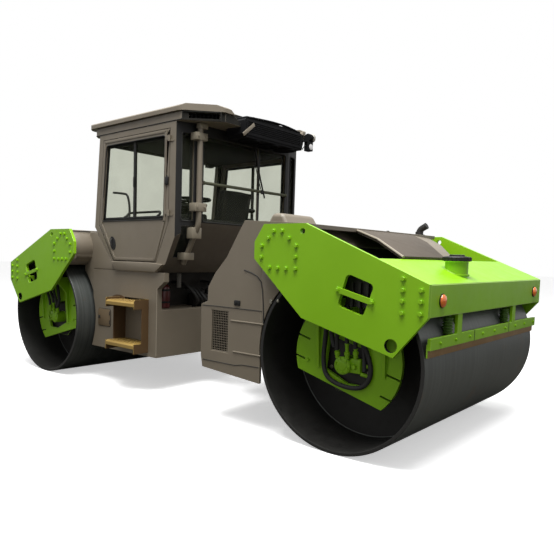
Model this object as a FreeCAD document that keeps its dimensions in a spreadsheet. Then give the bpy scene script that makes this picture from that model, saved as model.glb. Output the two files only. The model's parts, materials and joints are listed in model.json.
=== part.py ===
import FreeCAD, Part
import math
import os
import re
import Sketcher

# Articulated road roller with two steel drums, millimetres.
# Origin on the ground midway between the drums, +X forward, +Y left, +Z up.

# Driving dimensions: name, value, what it is.
DIMENSIONS = (
    ("axle_x", 1825, "drum axle, from the steering pin"),
    ("drum_radius", 625, "drum, outside"),
    ("drum_half", 1065, "half of the drum's width"),
    ("drum_wall", 25, "drum shell"),
    ("drum_gap", 6, "scraper blade to drum"),
    ("arch_gap", 45, "front bodywork to drum"),
    ("hood_gap", 15, "engine hood to drum"),
    ("web_y", 600, "outer face of a drum's end web"),
    ("web_wall", 30, "end web"),
    ("hub_radius", 80, "drum's hub journal"),
    ("hub_fit", 0.05, "running clearance round the journal"),
    ("hub_end_y", 840, "end of the journal"),
    ("plate_y", 1100, "inner face of a side plate"),
    ("plate_wall", 30, "side plate"),
    ("plate_top", 280, "side plate's top above the drum"),
    ("plate_past", 30, "side plate's outer end beyond the drum"),
    ("plate_rear", 653, "side plate's inner end before the axle"),
    ("window_round", 30, "rounded corners of the plate's window"),
    ("tow_radius", 42, "towing hole"),
    ("tow_out", 433, "towing hole beyond the axle"),
    ("tow_up", 161, "towing hole above the axle"),
    ("lift_radius", 20, "lifting hole"),
    ("lift_out", 236, "lifting hole before the axle"),
    ("lift_up", 227, "lifting hole above the drum"),
    ("strap_wall", 8, "strap across the side window"),
    ("strap_rise", 36, "height of that strap"),
    ("bumper_in", 150, "inner face of the outer beam before the drum's edge"),
    ("bumper_drop", 85, "outer beam's top below the drum's top"),
    ("bumper_high", 195, "height of the outer beam"),
    ("beam_end", 263, "cross beam's outer edge before the axle"),
    ("beam_low", 45, "cross beam's underside below the drum's top"),
    ("beam_high", 255, "cross beam's top above the drum's top"),
    ("flange_wall", 25, "bolting flange of the cross beam"),
    ("flange_edge", 40, "flange beyond the beam's tube"),
    ("tank_in", 315, "inner edge of the water tank beyond the axle"),
    ("tank_wall_gap", 2, "tank to side plate"),
    ("neck_radius", 75, "filler neck"),
    ("neck_y", 385, "filler neck, left of the middle"),
    ("neck_out", 515, "filler neck beyond the axle"),
    ("neck_high", 1300, "top of the filler neck"),
    ("cap_radius", 86, "filler cap"),
    ("cap_high", 42, "filler cap"),
    ("support_y", 880, "inner face of the drum support plate"),
    ("support_wall", 30, "drum support plate"),
    ("support_radius", 410, "drum support plate"),
    ("carrier_radius", 265, "bearing carrier disc"),
    ("carrier_wall", 25, "bearing carrier disc"),
    ("buffer_ring", 235, "rubber buffers, distance from the axle"),
    ("buffer_half", 33, "half of a square rubber buffer"),
    ("buffer_long", 30, "rubber buffer"),
    ("chord_fall", 15.3, "fall of the support's straight edge, degrees"),
    ("chord_in", 222, "that edge from the axle"),
    ("slit_in", 310, "slits in the support, inner end from the axle"),
    ("slit_wide", 14, "slits in the support"),
    ("housing_radius", 135, "bearing housing"),
    ("housing_long", 75, "bearing housing"),
    ("motor_radius", 92, "drum motor"),
    ("motor_y", 1020, "outer end of the drum motor"),
    ("rib_wall", 22, "rib between support and side plate"),
    ("rib_inner", 215, "inner rib before the axle"),
    ("rib_outer", 290, "outer rib beyond the axle"),
    ("rib_low", 90, "rib's foot below the axle"),
    ("rib_high", 400, "rib's head above the axle"),
    ("hanger_left", 625, "left scraper hanger"),
    ("hanger_right", 470, "right scraper hanger"),
    ("hanger_wide", 70, "scraper hanger"),
    ("scraper_half", 1058, "half of the scraper's length"),
    ("scraper_high", 220, "scraper bar's top above the axle"),
    ("scraper_low", 150, "scraper bar's underside above the axle"),
    ("blade_low", 104, "scraper blade's edge above the axle"),
    ("blade_wall", 8, "scraper blade"),
    ("lamp_y", 942, "indicator lamp"),
    ("lamp_up", 440, "indicator lamp above the axle"),
    ("lamp_radius", 40, "indicator lamp"),
    ("lamp_deep", 24, "indicator lamp"),
    ("hood_half", 1060, "half of the engine hood's width"),
    ("hood_wall", 25, "engine hood shell"),
    ("hood_low", 363, "hood's lower edge"),
    ("hood_top", 1566, "hood's top"),
    ("hood_front", 573, "hood's front ledge, behind the steering pin"),
    ("cover_half", 900, "half of the sloping cover's width"),
    ("cover_wall", 25, "sloping cover"),
    ("grille_front", 685, "side grille"),
    ("grille_rear", 875, "side grille"),
    ("grille_low", 550, "side grille"),
    ("grille_high", 880, "side grille"),
    ("grille_wall", 12, "side grille"),
    ("engine_long", 330, "engine block"),
    ("engine_wide", 900, "engine block"),
    ("engine_high", 440, "height of the engine"),
    ("engine_front", 765, "front of the engine"),
    ("exhaust_x", 1440, "exhaust tail, behind the steering pin"),
    ("exhaust_y", 985, "exhaust tail, right of the middle"),
    ("exhaust_radius", 30, "exhaust tail"),
    ("hinge_x", 40, "door hinge line"),
    ("hinge_out", 15, "door hinge line beyond the cab's side"),
    ("hinge_pin", 9, "door hinge pin"),
    ("hinge_barrel", 14, "door hinge knuckle"),
    ("chassis_half", 340, "half of the rear chassis' width"),
    ("post_y", 700, "chassis posts and beam hitches from the middle"),
    ("chassis_front", 300, "front of the rear chassis"),
    ("chassis_low", 430, "underside of the rear chassis"),
    ("chassis_high", 690, "top of the rear chassis"),
    ("pin_radius", 45, "steering pin"),
    ("pin_fit", 0.05, "running clearance round the pins"),
    ("lug_wall", 60, "steering lug"),
    ("lug_radius", 120, "steering lug"),
    ("lug_gap", 190, "between the steering lugs"),
    ("joint_z", 560, "height of the oscillation axis"),
    ("swing_radius", 85, "oscillation shaft"),
    ("swing_end", 470, "end of the oscillation shaft"),
    ("ram_front", 500, "front pin of the steering rams"),
    ("ram_rear", 140, "rear eye of the steering rams, behind the steering pin"),
    ("ram_y", 200, "steering rams from the middle"),
    ("ram_room", 75, "half height of the rams' pockets"),
    ("ram_pin_radius", 20, "front pin of a ram"),
    ("barrel_long", 378, "ram barrel, from its pin"),
    ("barrel_radius", 38, "ram barrel"),
    ("bore_radius", 28, "ram barrel's bore"),
    ("eye_radius", 42, "ram's front eye"),
    ("eye_half", 32, "half of that eye's height"),
    ("rod_radius", 20, "ram rod"),
    ("rod_fit", 0.05, "running clearance round the rod and piston"),
    ("rod_long", 338, "ram rod behind its fork"),
    ("arm_wall", 44, "arm of the centre joint"),
    ("fork_deep", 108, "depth of the rod's fork"),
    ("fork_gap", 6, "fork to arm"),
    ("fork_wall", 16, "fork's ears"),
    ("body_half", 880, "half of the front body's width"),
    ("body_rear", 190, "rear face of the front body"),
    ("body_low", 340, "underside of the front body"),
    ("body_top", 1130, "top of the front body"),
    ("shelf_z", 780, "shelf in the rear face"),
    ("shelf_deep", 330, "depth of the rear recess"),
    ("shelf_side", 60, "body beside the rear recess"),
    ("step_front", 745, "front of the step"),
    ("step_rear", 305, "rear of the step"),
    ("step_low", 377, "foot of the step"),
    ("step_high", 877, "head of the step"),
    ("step_deep", 65, "recess behind the step"),
    ("step_out", 170, "treads beyond the body"),
    ("step_web", 80, "upright web of the step beyond the body"),
    ("step_wall", 8, "step's sheet"),
    ("step_arm", 90, "height of the step's arms"),
    ("lip_high", 45, "tread's turned-down edge"),
    ("upper_drop", 22, "upper tread below the step's head"),
    ("cab_half", 880, "half of the cab's width"),
    ("cab_skin", 50, "cab walls and posts"),
    ("cab_floor", 1130, "underside of the cab"),
    ("cab_top", 2460, "top of the cab's frame"),
    ("cab_rear", 100, "rear face of the cab, behind the steering pin"),
    ("cab_front", 1177, "foremost edge of the cab"),
    ("waist_z", 1590, "lower edge of the windows"),
    ("lintel_z", 2370, "upper edge of the windows"),
    ("corner_y", 654, "where the cab's rear corners start"),
    ("corner_deep", 65, "cab's rear corners"),
    ("glass_wall", 8, "window glass"),
    ("glass_gap", 0.3, "glass in its frame"),
    ("door_gap", 6, "round a door"),
    ("door_wall", 42, "door"),
    ("post_wide", 70, "rear door post"),
    ("front_post", 60, "front door post"),
    ("door_rim", 60, "rim round a door's window"),
    ("sill_z", 1222, "door sill"),
    ("fascia_high", 72, "roof's side band above the cab"),
    ("groove_high", 8, "groove between that band and the cap"),
    ("groove_deep", 14, "that groove"),
    ("cap_edge", 36, "upright edge of the roof's cap"),
    ("crown_high", 116, "roof's cap from its underside to its crown"),
    ("roof_front", 1300, "front of the roof"),
    ("roof_rear", 350, "rear of the roof, behind the steering pin"),
    ("roof_past", 25, "roof's cap beyond the cab's side"),
    ("roof_corner", 300, "rear corners cut off the roof, across"),
    ("roof_round", 80, "rounded corners of the roof's cap"),
    ("intake_deep", 70, "air intake in a rear corner of the roof"),
    ("unit_left", 375, "left end of the cooling unit"),
    ("unit_right", 510, "right end of the cooling unit"),
    ("unit_past", 30, "cooling unit behind the roof"),
    ("unit_deep", 220, "cooling unit"),
    ("unit_low", 90, "cooling unit's underside below the cab's top"),
    ("unit_high", 75, "cooling unit's top above the cab's top"),
    ("seat_x", 330, "middle of the seat"),
    ("seat_wide", 440, "seat"),
    ("seat_z", 1640, "top of the seat cushion"),
    ("wheel_radius", 200, "steering wheel"),
    ("wheel_tube", 14, "steering wheel rim"),
    ("wheel_z", 1890, "steering wheel"),
    ("guard_z", 1950, "guard rail across the rear window"),
    ("guard_radius", 10, "guard rail"),
    ("divider_y", 175, "rear window's upright divider, right of the middle"),
    ("pipe_radius", 18, "pipe on the rear left post"),
    ("column_x", 690, "foot of the steering column"),
)

doc = FreeCAD.newDocument("road_roller")
sheet = doc.addObject("Spreadsheet::Sheet", "dims")
SIZE = {}
for row, (alias, value, meaning) in enumerate(DIMENSIONS, 1):
    sheet.set("A%d" % row, meaning)
    sheet.set("B%d" % row, str(value))
    sheet.setAlias("B%d" % row, alias)
    SIZE[alias] = value
doc.recompute()

# Sums that many pieces share.
DRUM_TOP = "(2 * drum_radius)"
AXLE_Z = "drum_radius"
ARCH = "(drum_radius + arch_gap)"
PLATE_OUT = "(plate_y + plate_wall)"
BEAM_IN = "(axle_x - drum_radius)"
BEAM_TOP = "(2 * drum_radius + beam_high)"
PLATE_END = "(axle_x + drum_radius + plate_past)"
BUMPER_IN = "(axle_x + drum_radius - bumper_in)"
BUMPER_TOP = "(2 * drum_radius - bumper_drop)"
BUMPER_LOW = "(2 * drum_radius - bumper_drop - bumper_high)"
# The corner windows of the cab, measured from the middle.
PANE_IN = "(corner_y + 50)"
PANE_OUT = "(cab_half - 54)"

WORD = re.compile(r"[a-z][a-z_]*")
SUBPARTS = {}


def formula(text):
    """The formula with each dimension's name pointed at its cell."""
    def cell(word):
        return "dims." + word.group() if word.group() in SIZE else word.group()

    return WORD.sub(cell, str(text))


def bind(thing, path, text):
    thing.setExpression(path, formula(text))


def keep(thing, label):
    """Names the finished piece."""
    thing.Label = label
    SUBPARTS[label] = thing
    return thing


def plane_of(body, role):
    return [feature for feature in body.Origin.OriginFeatures if feature.Role == role][0]


def outline(body, role, offset, corners):
    """A closed outline of straight sides; a corner is a pair of formulas."""
    sketch = body.newObject("Sketcher::SketchObject", "outline")
    sketch.AttachmentSupport = (plane_of(body, role), [""])
    sketch.MapMode = "FlatFace"
    bind(sketch, ".AttachmentOffset.Base.z", offset)
    count = len(corners)
    start = [FreeCAD.Vector(math.cos(2 * math.pi * i / count), math.sin(2 * math.pi * i / count)) * 100
             for i in range(count)]
    for i in range(count):
        sketch.addGeometry(Part.LineSegment(start[i], start[(i + 1) % count]), False)
    for i in range(count):
        sketch.addConstraint(Sketcher.Constraint("Coincident", i, 2, (i + 1) % count, 1))
    for i, corner in enumerate(corners):
        for kind, place, text in (("DistanceX", start[i].x, corner[0]),
                                  ("DistanceY", start[i].y, corner[1])):
            index = sketch.addConstraint(Sketcher.Constraint(kind, -1, 1, i, 1, place))
            bind(sketch, "Constraints[%d]" % index, text)
    return sketch


def ring(body, role, offset, centre, radius):
    """A circle in a sketch."""
    sketch = body.newObject("Sketcher::SketchObject", "circle")
    sketch.AttachmentSupport = (plane_of(body, role), [""])
    sketch.MapMode = "FlatFace"
    bind(sketch, ".AttachmentOffset.Base.z", offset)
    sketch.addGeometry(Part.Circle(FreeCAD.Vector(1, 1, 0), FreeCAD.Vector(0, 0, 1), 10), False)
    for kind, place, text in (("DistanceX", 1, centre[0]), ("DistanceY", 1, centre[1])):
        index = sketch.addConstraint(Sketcher.Constraint(kind, -1, 1, 0, 3, place))
        bind(sketch, "Constraints[%d]" % index, text)
    index = sketch.addConstraint(Sketcher.Constraint("Radius", 0, 10))
    bind(sketch, "Constraints[%d]" % index, radius)
    return sketch


def feature(body, kind, sketch, length, middle=False, back=False):
    """A pad or a pocket of a sketch; both go along the sketch's normal, or back."""
    made = body.newObject("PartDesign::" + kind, kind.lower())
    made.Profile = sketch
    bind(made, "Length", length)
    made.Reversed = back != (kind == "Pocket")
    if middle:
        made.SideType = "Symmetric"
    sketch.Visibility = False
    return made


def prism(name, role, offset, corners, length, middle=False, back=False):
    """A body padded from one outline."""
    body = doc.addObject("PartDesign::Body", name)
    feature(body, "Pad", outline(body, role, offset, corners), length, middle, back)
    return body


def side_prism(name, corners, half):
    """A side profile in X and Z, as wide as twice half."""
    return prism(name, "XZ_Plane", "0", corners, "2 * (%s)" % half, middle=True)


def block(name, low, high):
    """A box between two corners, each a triple of formulas."""
    box = doc.addObject("Part::Box", name)
    for path, begin, end in zip(("Length", "Width", "Height"), low, high):
        bind(box, path, "(%s) - (%s)" % (end, begin))
    for axis, begin in zip("xyz", low):
        bind(box, ".Placement.Base.%s" % axis, begin)
    return box


# Turns a cylinder from +Z to the axis that is named.
TURNS = {
    "X": FreeCAD.Rotation(FreeCAD.Vector(0, 1, 0), 90),
    "Y": FreeCAD.Rotation(FreeCAD.Vector(1, 0, 0), -90),
    "Z": FreeCAD.Rotation(),
}


def rod(name, axis, base, length, radius):
    """A cylinder along X, Y or Z from its base point."""
    bar = doc.addObject("Part::Cylinder", name)
    bar.Placement.Rotation = TURNS[axis]
    bind(bar, "Radius", radius)
    bind(bar, "Height", length)
    for letter, text in zip("xyz", base):
        bind(bar, ".Placement.Base.%s" % letter, text)
    return bar


def fuse(name, pieces):
    joined = doc.addObject("Part::MultiFuse", name)
    joined.Shapes = pieces
    joined.Refine = True
    return joined


def cut(name, base, tools):
    tool = tools[0] if len(tools) == 1 else fuse(name + "_tools", tools)
    made = doc.addObject("Part::Cut", name)
    made.Base = base
    made.Tool = tool
    return made


def mirror(thing, normal, label):
    made = doc.addObject("Part::Mirroring", label)
    made.Source = thing
    made.Normal = normal
    return keep(made, label)


ACROSS = FreeCAD.Vector(0, 1, 0)
ALONG = FreeCAD.Vector(1, 0, 0)


def left_and_right(thing, label):
    """The left piece and its mirror image, each a node."""
    keep(thing, label % "left")
    mirror(thing, ACROSS, label % "right")


def round_corners(body, sketch, radius):
    """Rounds the edges that a sketch's corners leave along the sketch's normal."""
    doc.recompute()
    base = body.Tip
    along = sketch.Placement.Rotation.multVec(FreeCAD.Vector(0, 0, 1))
    corners = [vertex.Point for vertex in sketch.Shape.Vertexes]

    def off_axis(point, corner):
        away = point - corner
        return (away - along * away.dot(along)).Length

    names = []
    for i, edge in enumerate(base.Shape.Edges):
        ends = [vertex.Point for vertex in edge.Vertexes]
        if len(ends) == 2 and any(all(off_axis(end, corner) < 0.01 for end in ends) for corner in corners):
            names.append("Edge%d" % (i + 1))
    made = body.newObject("PartDesign::Fillet", "rounding")
    made.Base = (base, names)
    bind(made, "Radius", radius)
    return made


def turned(name, role, corners, axis):
    """A body turned from one closed outline about an axis of its sketch's plane."""
    body = doc.addObject("PartDesign::Body", name)
    sketch = outline(body, role, "0", corners)
    made = body.newObject("PartDesign::Revolution", "turned")
    made.Profile = sketch
    made.ReferenceAxis = (sketch, [axis])
    made.Angle = 360
    sketch.Visibility = False
    return body


def both_sides(corners):
    """The corners and their mirror image on the other side of the middle, in one loop."""
    return corners + tuple(("-(%s)" % y, z) for y, z in reversed(corners))


def bent_tube(name, points, radius, bend):
    """A round bar along straight runs, with a round bend between each two."""
    pieces = []
    start = points[0]
    for before, corner, after in zip(points, points[1:], points[2:]):
        into = FreeCAD.Vector(corner - before).normalize()
        out = FreeCAD.Vector(after - corner).normalize()
        half_turn = into.getAngle(out) / 2
        inward = FreeCAD.Vector(out - into).normalize()
        first = corner - into * (bend * math.tan(half_turn))
        centre = corner + inward * (bend / math.cos(half_turn))
        pieces.append(Part.makeCylinder(radius, (first - start).Length, start, into))
        section = Part.Face(Part.Wire(Part.makeCircle(radius, first, into)))
        pieces.append(section.revolve(centre, into.cross(out), math.degrees(2 * half_turn)))
        start = corner + out * (bend * math.tan(half_turn))
    pieces.append(Part.makeCylinder(radius, (points[-1] - start).Length, start, points[-1] - start))
    made = doc.addObject("Part::Feature", name)
    made.Shape = pieces[0].fuse(pieces[1:])
    return made


def slope_z(out):
    """Height of the side plate's sloping top edge, so far beyond the axle."""
    fall = "(plate_top + bumper_drop) / (drum_radius + plate_past + 215)"
    return "(%s + plate_top - (%s + 215) * %s)" % (DRUM_TOP, out, fall)


def side_plate():
    body = doc.addObject("PartDesign::Body", "plate")
    corners = (
        ("axle_x - 570", DRUM_TOP + " + plate_top"),
        ("axle_x - 215", DRUM_TOP + " + plate_top"),
        (PLATE_END, BUMPER_TOP),
        (PLATE_END, BUMPER_LOW),
        ("axle_x + 450", AXLE_Z + " + 90"),
        ("axle_x - 225", AXLE_Z + " + 270"),
        ("axle_x - plate_rear", DRUM_TOP + " + 35"),
        ("axle_x - plate_rear", DRUM_TOP + " + 155"),
    )
    face = "-" + PLATE_OUT
    feature(body, "Pad", outline(body, "XZ_Plane", face, corners), "plate_wall")
    window = outline(body, "XZ_Plane", face, (
        ("axle_x + 116", AXLE_Z + " + 584"), ("axle_x + 309", AXLE_Z + " + 519"),
        ("axle_x + 240", AXLE_Z + " + 320"), ("axle_x + 52", AXLE_Z + " + 375")))
    feature(body, "Pocket", window, "plate_wall")
    round_corners(body, window, "window_round")
    for out, level, radius in (("axle_x + tow_out", AXLE_Z + " + tow_up", "tow_radius"),
                               ("axle_x - lift_out", DRUM_TOP + " + lift_up", "lift_radius")):
        feature(body, "Pocket", ring(body, "XZ_Plane", face, (out, level), radius), "plate_wall")
    strap = (
        ("axle_x + 48", AXLE_Z + " + 478 + strap_rise / 2"),
        ("axle_x + 306", AXLE_Z + " + 411 + strap_rise / 2"),
        ("axle_x + 306", AXLE_Z + " + 411 - strap_rise / 2"),
        ("axle_x + 48", AXLE_Z + " + 478 - strap_rise / 2"),
    )
    outer_face = "-(%s + strap_wall)" % PLATE_OUT
    feature(body, "Pad", outline(body, "XZ_Plane", outer_face, strap), "2 * strap_wall")
    return body


def cross_beam():
    """Arch-shaped tube between the side plates, with a bolting flange at each end."""
    low = DRUM_TOP + " - beam_low"
    in_x = BEAM_IN + " + 15"
    out_x = "axle_x - beam_end"
    top = BEAM_TOP

    def section(edge):
        return (
            (in_x + " + 25 + %s" % edge, low + " + %s" % edge),
            (out_x + " - 32 - %s" % edge, low + " + %s" % edge),
            (out_x + " - %s" % edge, low + " + 30 + %s" % edge),
            (out_x + " - %s" % edge, low + " + 190"),
            (out_x + " - 70 - %s" % edge, top + " - 30"),
            (out_x + " - 120", top),
            (in_x + " + 110", top),
            (in_x + " + 60 + %s" % edge, top + " - 30"),
            (in_x + " + %s" % edge, low + " + 180"),
            (in_x + " + %s" % edge, low + " + 30 + %s" % edge),
        )

    body = doc.addObject("PartDesign::Body", "beam")
    feature(body, "Pad", outline(body, "XZ_Plane", "0", section("flange_edge")), "2 * plate_y", middle=True)
    for face in ("-plate_y", "plate_y - flange_wall"):
        feature(body, "Pad", outline(body, "XZ_Plane", face, section("0")), "flange_wall")
    return body


def bumper():
    """Outer box beam between the ends of the side plates."""
    corners = (
        (BUMPER_IN, BUMPER_TOP),
        (PLATE_END, BUMPER_TOP),
        (PLATE_END, BUMPER_LOW),
        (BUMPER_IN + " + 110", BUMPER_LOW),
        (BUMPER_IN, BUMPER_LOW + " + 110"),
    )
    return side_prism("bumper", corners, "plate_y")


def water_tank():
    """Wedge tank under the side plates' slope, with its filler neck and cap."""
    corners = (
        ("axle_x + tank_in", slope_z("tank_in")),
        (PLATE_END, BUMPER_TOP),
        (BUMPER_IN, BUMPER_TOP),
        (BUMPER_IN + " - 5", BUMPER_TOP + " - 50"),
        ("axle_x + tank_in", "%s + sqrt(%s^2 - tank_in^2) - 10" % (AXLE_Z, ARCH)),
    )
    wedge = side_prism("tank", corners, "plate_y - tank_wall_gap")
    neck = rod("neck", "Z", ("axle_x + neck_out", "neck_y", "neck_high - 130"), "130", "neck_radius")
    cap = rod("cap", "Z", ("axle_x + neck_out", "neck_y", "neck_high"), "cap_high", "cap_radius")
    return fuse("tank_and_neck", [wedge, neck, cap])


def drum_support():
    """Plate in the drum's end with the bearing carrier, motor and two ribs to the side plate."""
    outer = "-(support_y + support_wall + 10)"
    through = "support_wall + 20"

    def place(along, across):
        """A point given along the plate's straight edge and square to it, from the axle."""
        return ("axle_x + (%s) * cos(chord_fall) + (%s) * sin(chord_fall)" % (along, across),
                AXLE_Z + " - (%s) * sin(chord_fall) + (%s) * cos(chord_fall)" % (along, across))

    chord = (place("-600", "-chord_in"), place("600", "-chord_in"), place("600", "-700"),
             place("-600", "-700"))
    disc = rod("disc", "Y", ("axle_x", "support_y", AXLE_Z), "support_wall", "support_radius")
    below = prism("below", "XZ_Plane", outer, chord, through)
    window = (("axle_x - 135", AXLE_Z + " + 148"), ("axle_x + 154", AXLE_Z + " + 75"),
              ("axle_x + 200", AXLE_Z + " - 52"), ("axle_x + 157", AXLE_Z + " - 171"),
              ("axle_x + 12", AXLE_Z + " - 171"), ("axle_x - 165", AXLE_Z + " - 91"))
    holes = [below, prism("hole", "XZ_Plane", outer, window, through)]
    for across in ("24", "-127"):
        for side in ("", "-"):
            slit = (place(side + "slit_in", across), place(side + "(support_radius + 20)", across),
                    place(side + "(support_radius + 20)", across + " - slit_wide"),
                    place(side + "slit_in", across + " - slit_wide"))
            holes.append(prism("slit", "XZ_Plane", outer, slit, through))
    plate = cut("support_plate", disc, holes)
    carrier_y = "support_y - buffer_long - carrier_wall"
    eight = [("axle_x + carrier_radius * cos(%s)" % turn, AXLE_Z + " + carrier_radius * sin(%s)" % turn)
             for turn in (22.5, 67.5, 112.5, 157.5, 202.5, 247.5, 292.5, 337.5)]
    carrier = prism("carrier", "XZ_Plane", "-(support_y - buffer_long)", eight, "carrier_wall")
    housing = rod("housing", "Y", ("axle_x", carrier_y + " - housing_long", AXLE_Z), "housing_long",
                  "housing_radius")
    motor = rod("motor", "Y", ("axle_x", carrier_y, AXLE_Z), "motor_y - (%s)" % carrier_y, "motor_radius")
    pieces = [plate, carrier, housing, motor]
    for turn in (0, 62, 118, 180):
        x = "axle_x + buffer_ring * cos(%d)" % turn
        z = AXLE_Z + " + buffer_ring * sin(%d)" % turn
        low = (x + " - buffer_half", "support_y - buffer_long - 5", z + " - buffer_half")
        high = (x + " + buffer_half", "support_y + 5", z + " + buffer_half")
        pieces.append(block("buffer", low, high))
    for out in ("-rib_inner", "rib_outer"):
        x = "axle_x + %s - rib_wall / 2" % out
        pieces.append(block("rib", (x, "support_y + 5", AXLE_Z + " - rib_low"),
                            (x + " + rib_wall", "plate_y", AXLE_Z + " + rib_high")))
    whole = fuse("support_whole", pieces)
    bore = rod("bore", "Y", ("axle_x", carrier_y + " - housing_long - 5", AXLE_Z),
               "hub_end_y + 6 - (%s - housing_long - 5)" % carrier_y, "hub_radius + hub_fit")
    return cut("support", whole, [bore])


def scraper():
    """Bar on two gusseted hangers below the outer beam, with the blade along the drum."""
    front = PLATE_END + " - 5"
    back = front + " - 22"
    edge = "axle_x + sqrt((drum_radius + drum_gap)^2 - blade_low^2)"
    bar = block("bar", (back, "-scraper_half", AXLE_Z + " + scraper_low"),
                (front, "scraper_half", AXLE_Z + " + scraper_high"))
    blade = block("blade", (edge, "-scraper_half", AXLE_Z + " + blade_low"),
                  (edge + " + blade_wall", "scraper_half", AXLE_Z + " + scraper_low + 35"))
    packing = block("packing", (edge + " + 2", "-scraper_half + 40", AXLE_Z + " + scraper_low"),
                    (back + " + 5", "scraper_half - 40", AXLE_Z + " + scraper_low + 30"))
    pieces = [bar, blade, packing]
    for side in ("hanger_left", "-hanger_right"):
        pieces.append(block("hanger", (back, side + " - hanger_wide / 2", AXLE_Z + " + scraper_high - 10"),
                            (front, side + " + hanger_wide / 2", BUMPER_LOW)))
        gusset = ((back + " + 2", AXLE_Z + " + scraper_high + 20"), (back + " + 2", BUMPER_LOW),
                  (back + " - 42", BUMPER_LOW))
        pieces.append(prism("gusset", "XZ_Plane", "-(%s + 6)" % side, gusset, "12"))
    return fuse("scraper", pieces)


def indicators():
    lamps = [rod("lamp", "X", (PLATE_END, side, AXLE_Z + " + lamp_up"), "lamp_deep", "lamp_radius")
             for side in ("lamp_y", "-lamp_y")]
    made = doc.addObject("Part::Compound", "lamps")
    made.Links = lamps
    return made


def drum():
    """Steel drum with end webs set in from its ends and a journal on each web."""
    inner = "drum_radius - drum_wall"
    end = (
        ("web_y - web_wall", inner), ("web_y - web_wall", "0"), ("hub_end_y", "0"),
        ("hub_end_y", "hub_radius"), ("web_y + 60", "hub_radius"), ("web_y", "hub_radius + 60"),
        ("web_y", inner), ("drum_half", inner), ("drum_half", "drum_radius"),
    )
    body = turned("drum", "YZ_Plane", both_sides(end), "H_Axis")
    bind(body, ".Placement.Base.x", "axle_x")
    bind(body, ".Placement.Base.z", AXLE_Z)
    return body


def half_machine():
    """The drum yoke of the front half, mirrored for the rear half."""
    pieces = (
        ("beam", cross_beam()), ("left_plate", side_plate()), ("bumper", bumper()), ("tank", water_tank()),
        ("left_support", drum_support()), ("scraper", scraper()), ("lamps", indicators()), ("drum", drum()),
    )
    for name, piece in pieces:
        keep(piece, "front_" + name)
        mirror(piece, ALONG, "rear_" + name)
    for end in ("front", "rear"):
        for name in ("plate", "support"):
            mirror(SUBPARTS["%s_left_%s" % (end, name)], ACROSS, "%s_right_%s" % (end, name))


def shell(name, table, half, wall):
    """Outer and inner side profile; a row is x, z and the inner corner's shift in walls."""
    outside = side_prism(name + "_outside", [(x, z) for x, z, dx, dz in table], half)
    corners = [("%s + %s * %s" % (x, dx, wall), "%s + %s * %s" % (z, dz, wall)) for x, z, dx, dz in table]
    return outside, side_prism(name + "_inside", corners, "%s - %s" % (half, wall))


def sloping_cover():
    """Sheet cover over the drum between cross beam and tank, open below."""
    table = (
        ("axle_x - beam_end", BEAM_TOP + " + 30", 1, -1),
        ("axle_x + 13", DRUM_TOP + " + 225", 0, -1),
        ("axle_x + tank_in", slope_z("tank_in") + " + 30", -1, -1),
        ("axle_x + tank_in", "%s + sqrt(%s^2 - tank_in^2)" % (AXLE_Z, ARCH), -1, -2),
        ("axle_x + 13", DRUM_TOP + " + arch_gap", 0, -2),
        ("axle_x - beam_end", "%s + sqrt(%s^2 - beam_end^2)" % (AXLE_Z, ARCH), 1, -2),
    )
    outside, inside = shell("cover", table, "cover_half", "cover_wall")
    return cut("cover", outside, [inside])


def engine_hood():
    """Hood shell ahead of the rear drum, open below, with an arched rear edge."""
    table = (
        ("-596", "hood_low + 44", -1, -4),
        ("-(hood_front + 4)", "hood_low + 139", -1, 0),
        ("-hood_front", "911", -1, -0.5),
        ("-(hood_front + 70)", "939", -1, -0.3),
        ("-(hood_front + 74)", "1051", -1, -0.2),
        ("-721", "1164", -1, -0.5),
        ("-837", "1288", -1, -0.6),
        ("-1013", "hood_top", -0.6, -1),
        ("-(axle_x - beam_end)", BEAM_TOP + " + 30", 10, -1),
        ("-(axle_x - beam_end)", BEAM_TOP, 10, 0.2),
        ("-(%s - 8)" % BEAM_IN, BEAM_TOP, 1, 0.2),
        ("-(%s - 8)" % BEAM_IN, AXLE_Z, 1, 0),
        ("-(%s - 8)" % BEAM_IN, "hood_low", 1, -4),
    )
    outside, inside = shell("hood", table, "hood_half", "hood_wall")
    arch = rod("arch", "Y", ("-axle_x", "-hood_half - 10", AXLE_Z), "2 * hood_half + 20",
               "drum_radius + hood_gap")
    vents = [block("vent", ("-grille_rear", side + " - 60", "grille_low"), ("-grille_front", side + " + 60",
                                                                            "grille_high"))
             for side in ("hood_half", "-hood_half")]
    hump_table = (("-1172", "hood_top - 30"), ("-1217", "hood_top + 52"), ("-1315", "hood_top + 49"),
                  ("-1363", "hood_top - 30"))
    hump = prism("hump", "XZ_Plane", "-(hood_half - 60)", hump_table, "400")
    side = "hood_half - hood_wall"
    rear = block("rear_open", ("-%s" % BEAM_IN, "-(%s)" % side, "hood_low - 10"), ("-1150", side, BEAM_TOP))
    neck = block("neck_open", ("-(hood_front + 60)", "-(chassis_half + 6)", "hood_low - 10"),
                 ("-(hood_front - 20)", "chassis_half + 6", "chassis_high + 6"))
    pipe = rod("pipe_hole", "Z", ("-exhaust_x", "-exhaust_y", BEAM_TOP), "200", "exhaust_radius + 0.3")
    hollow = cut("hood_hollow", outside, [inside, arch, rear, neck] + vents)
    return cut("hood", fuse("hood_closed", [hollow, hump]), [pipe])


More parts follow.
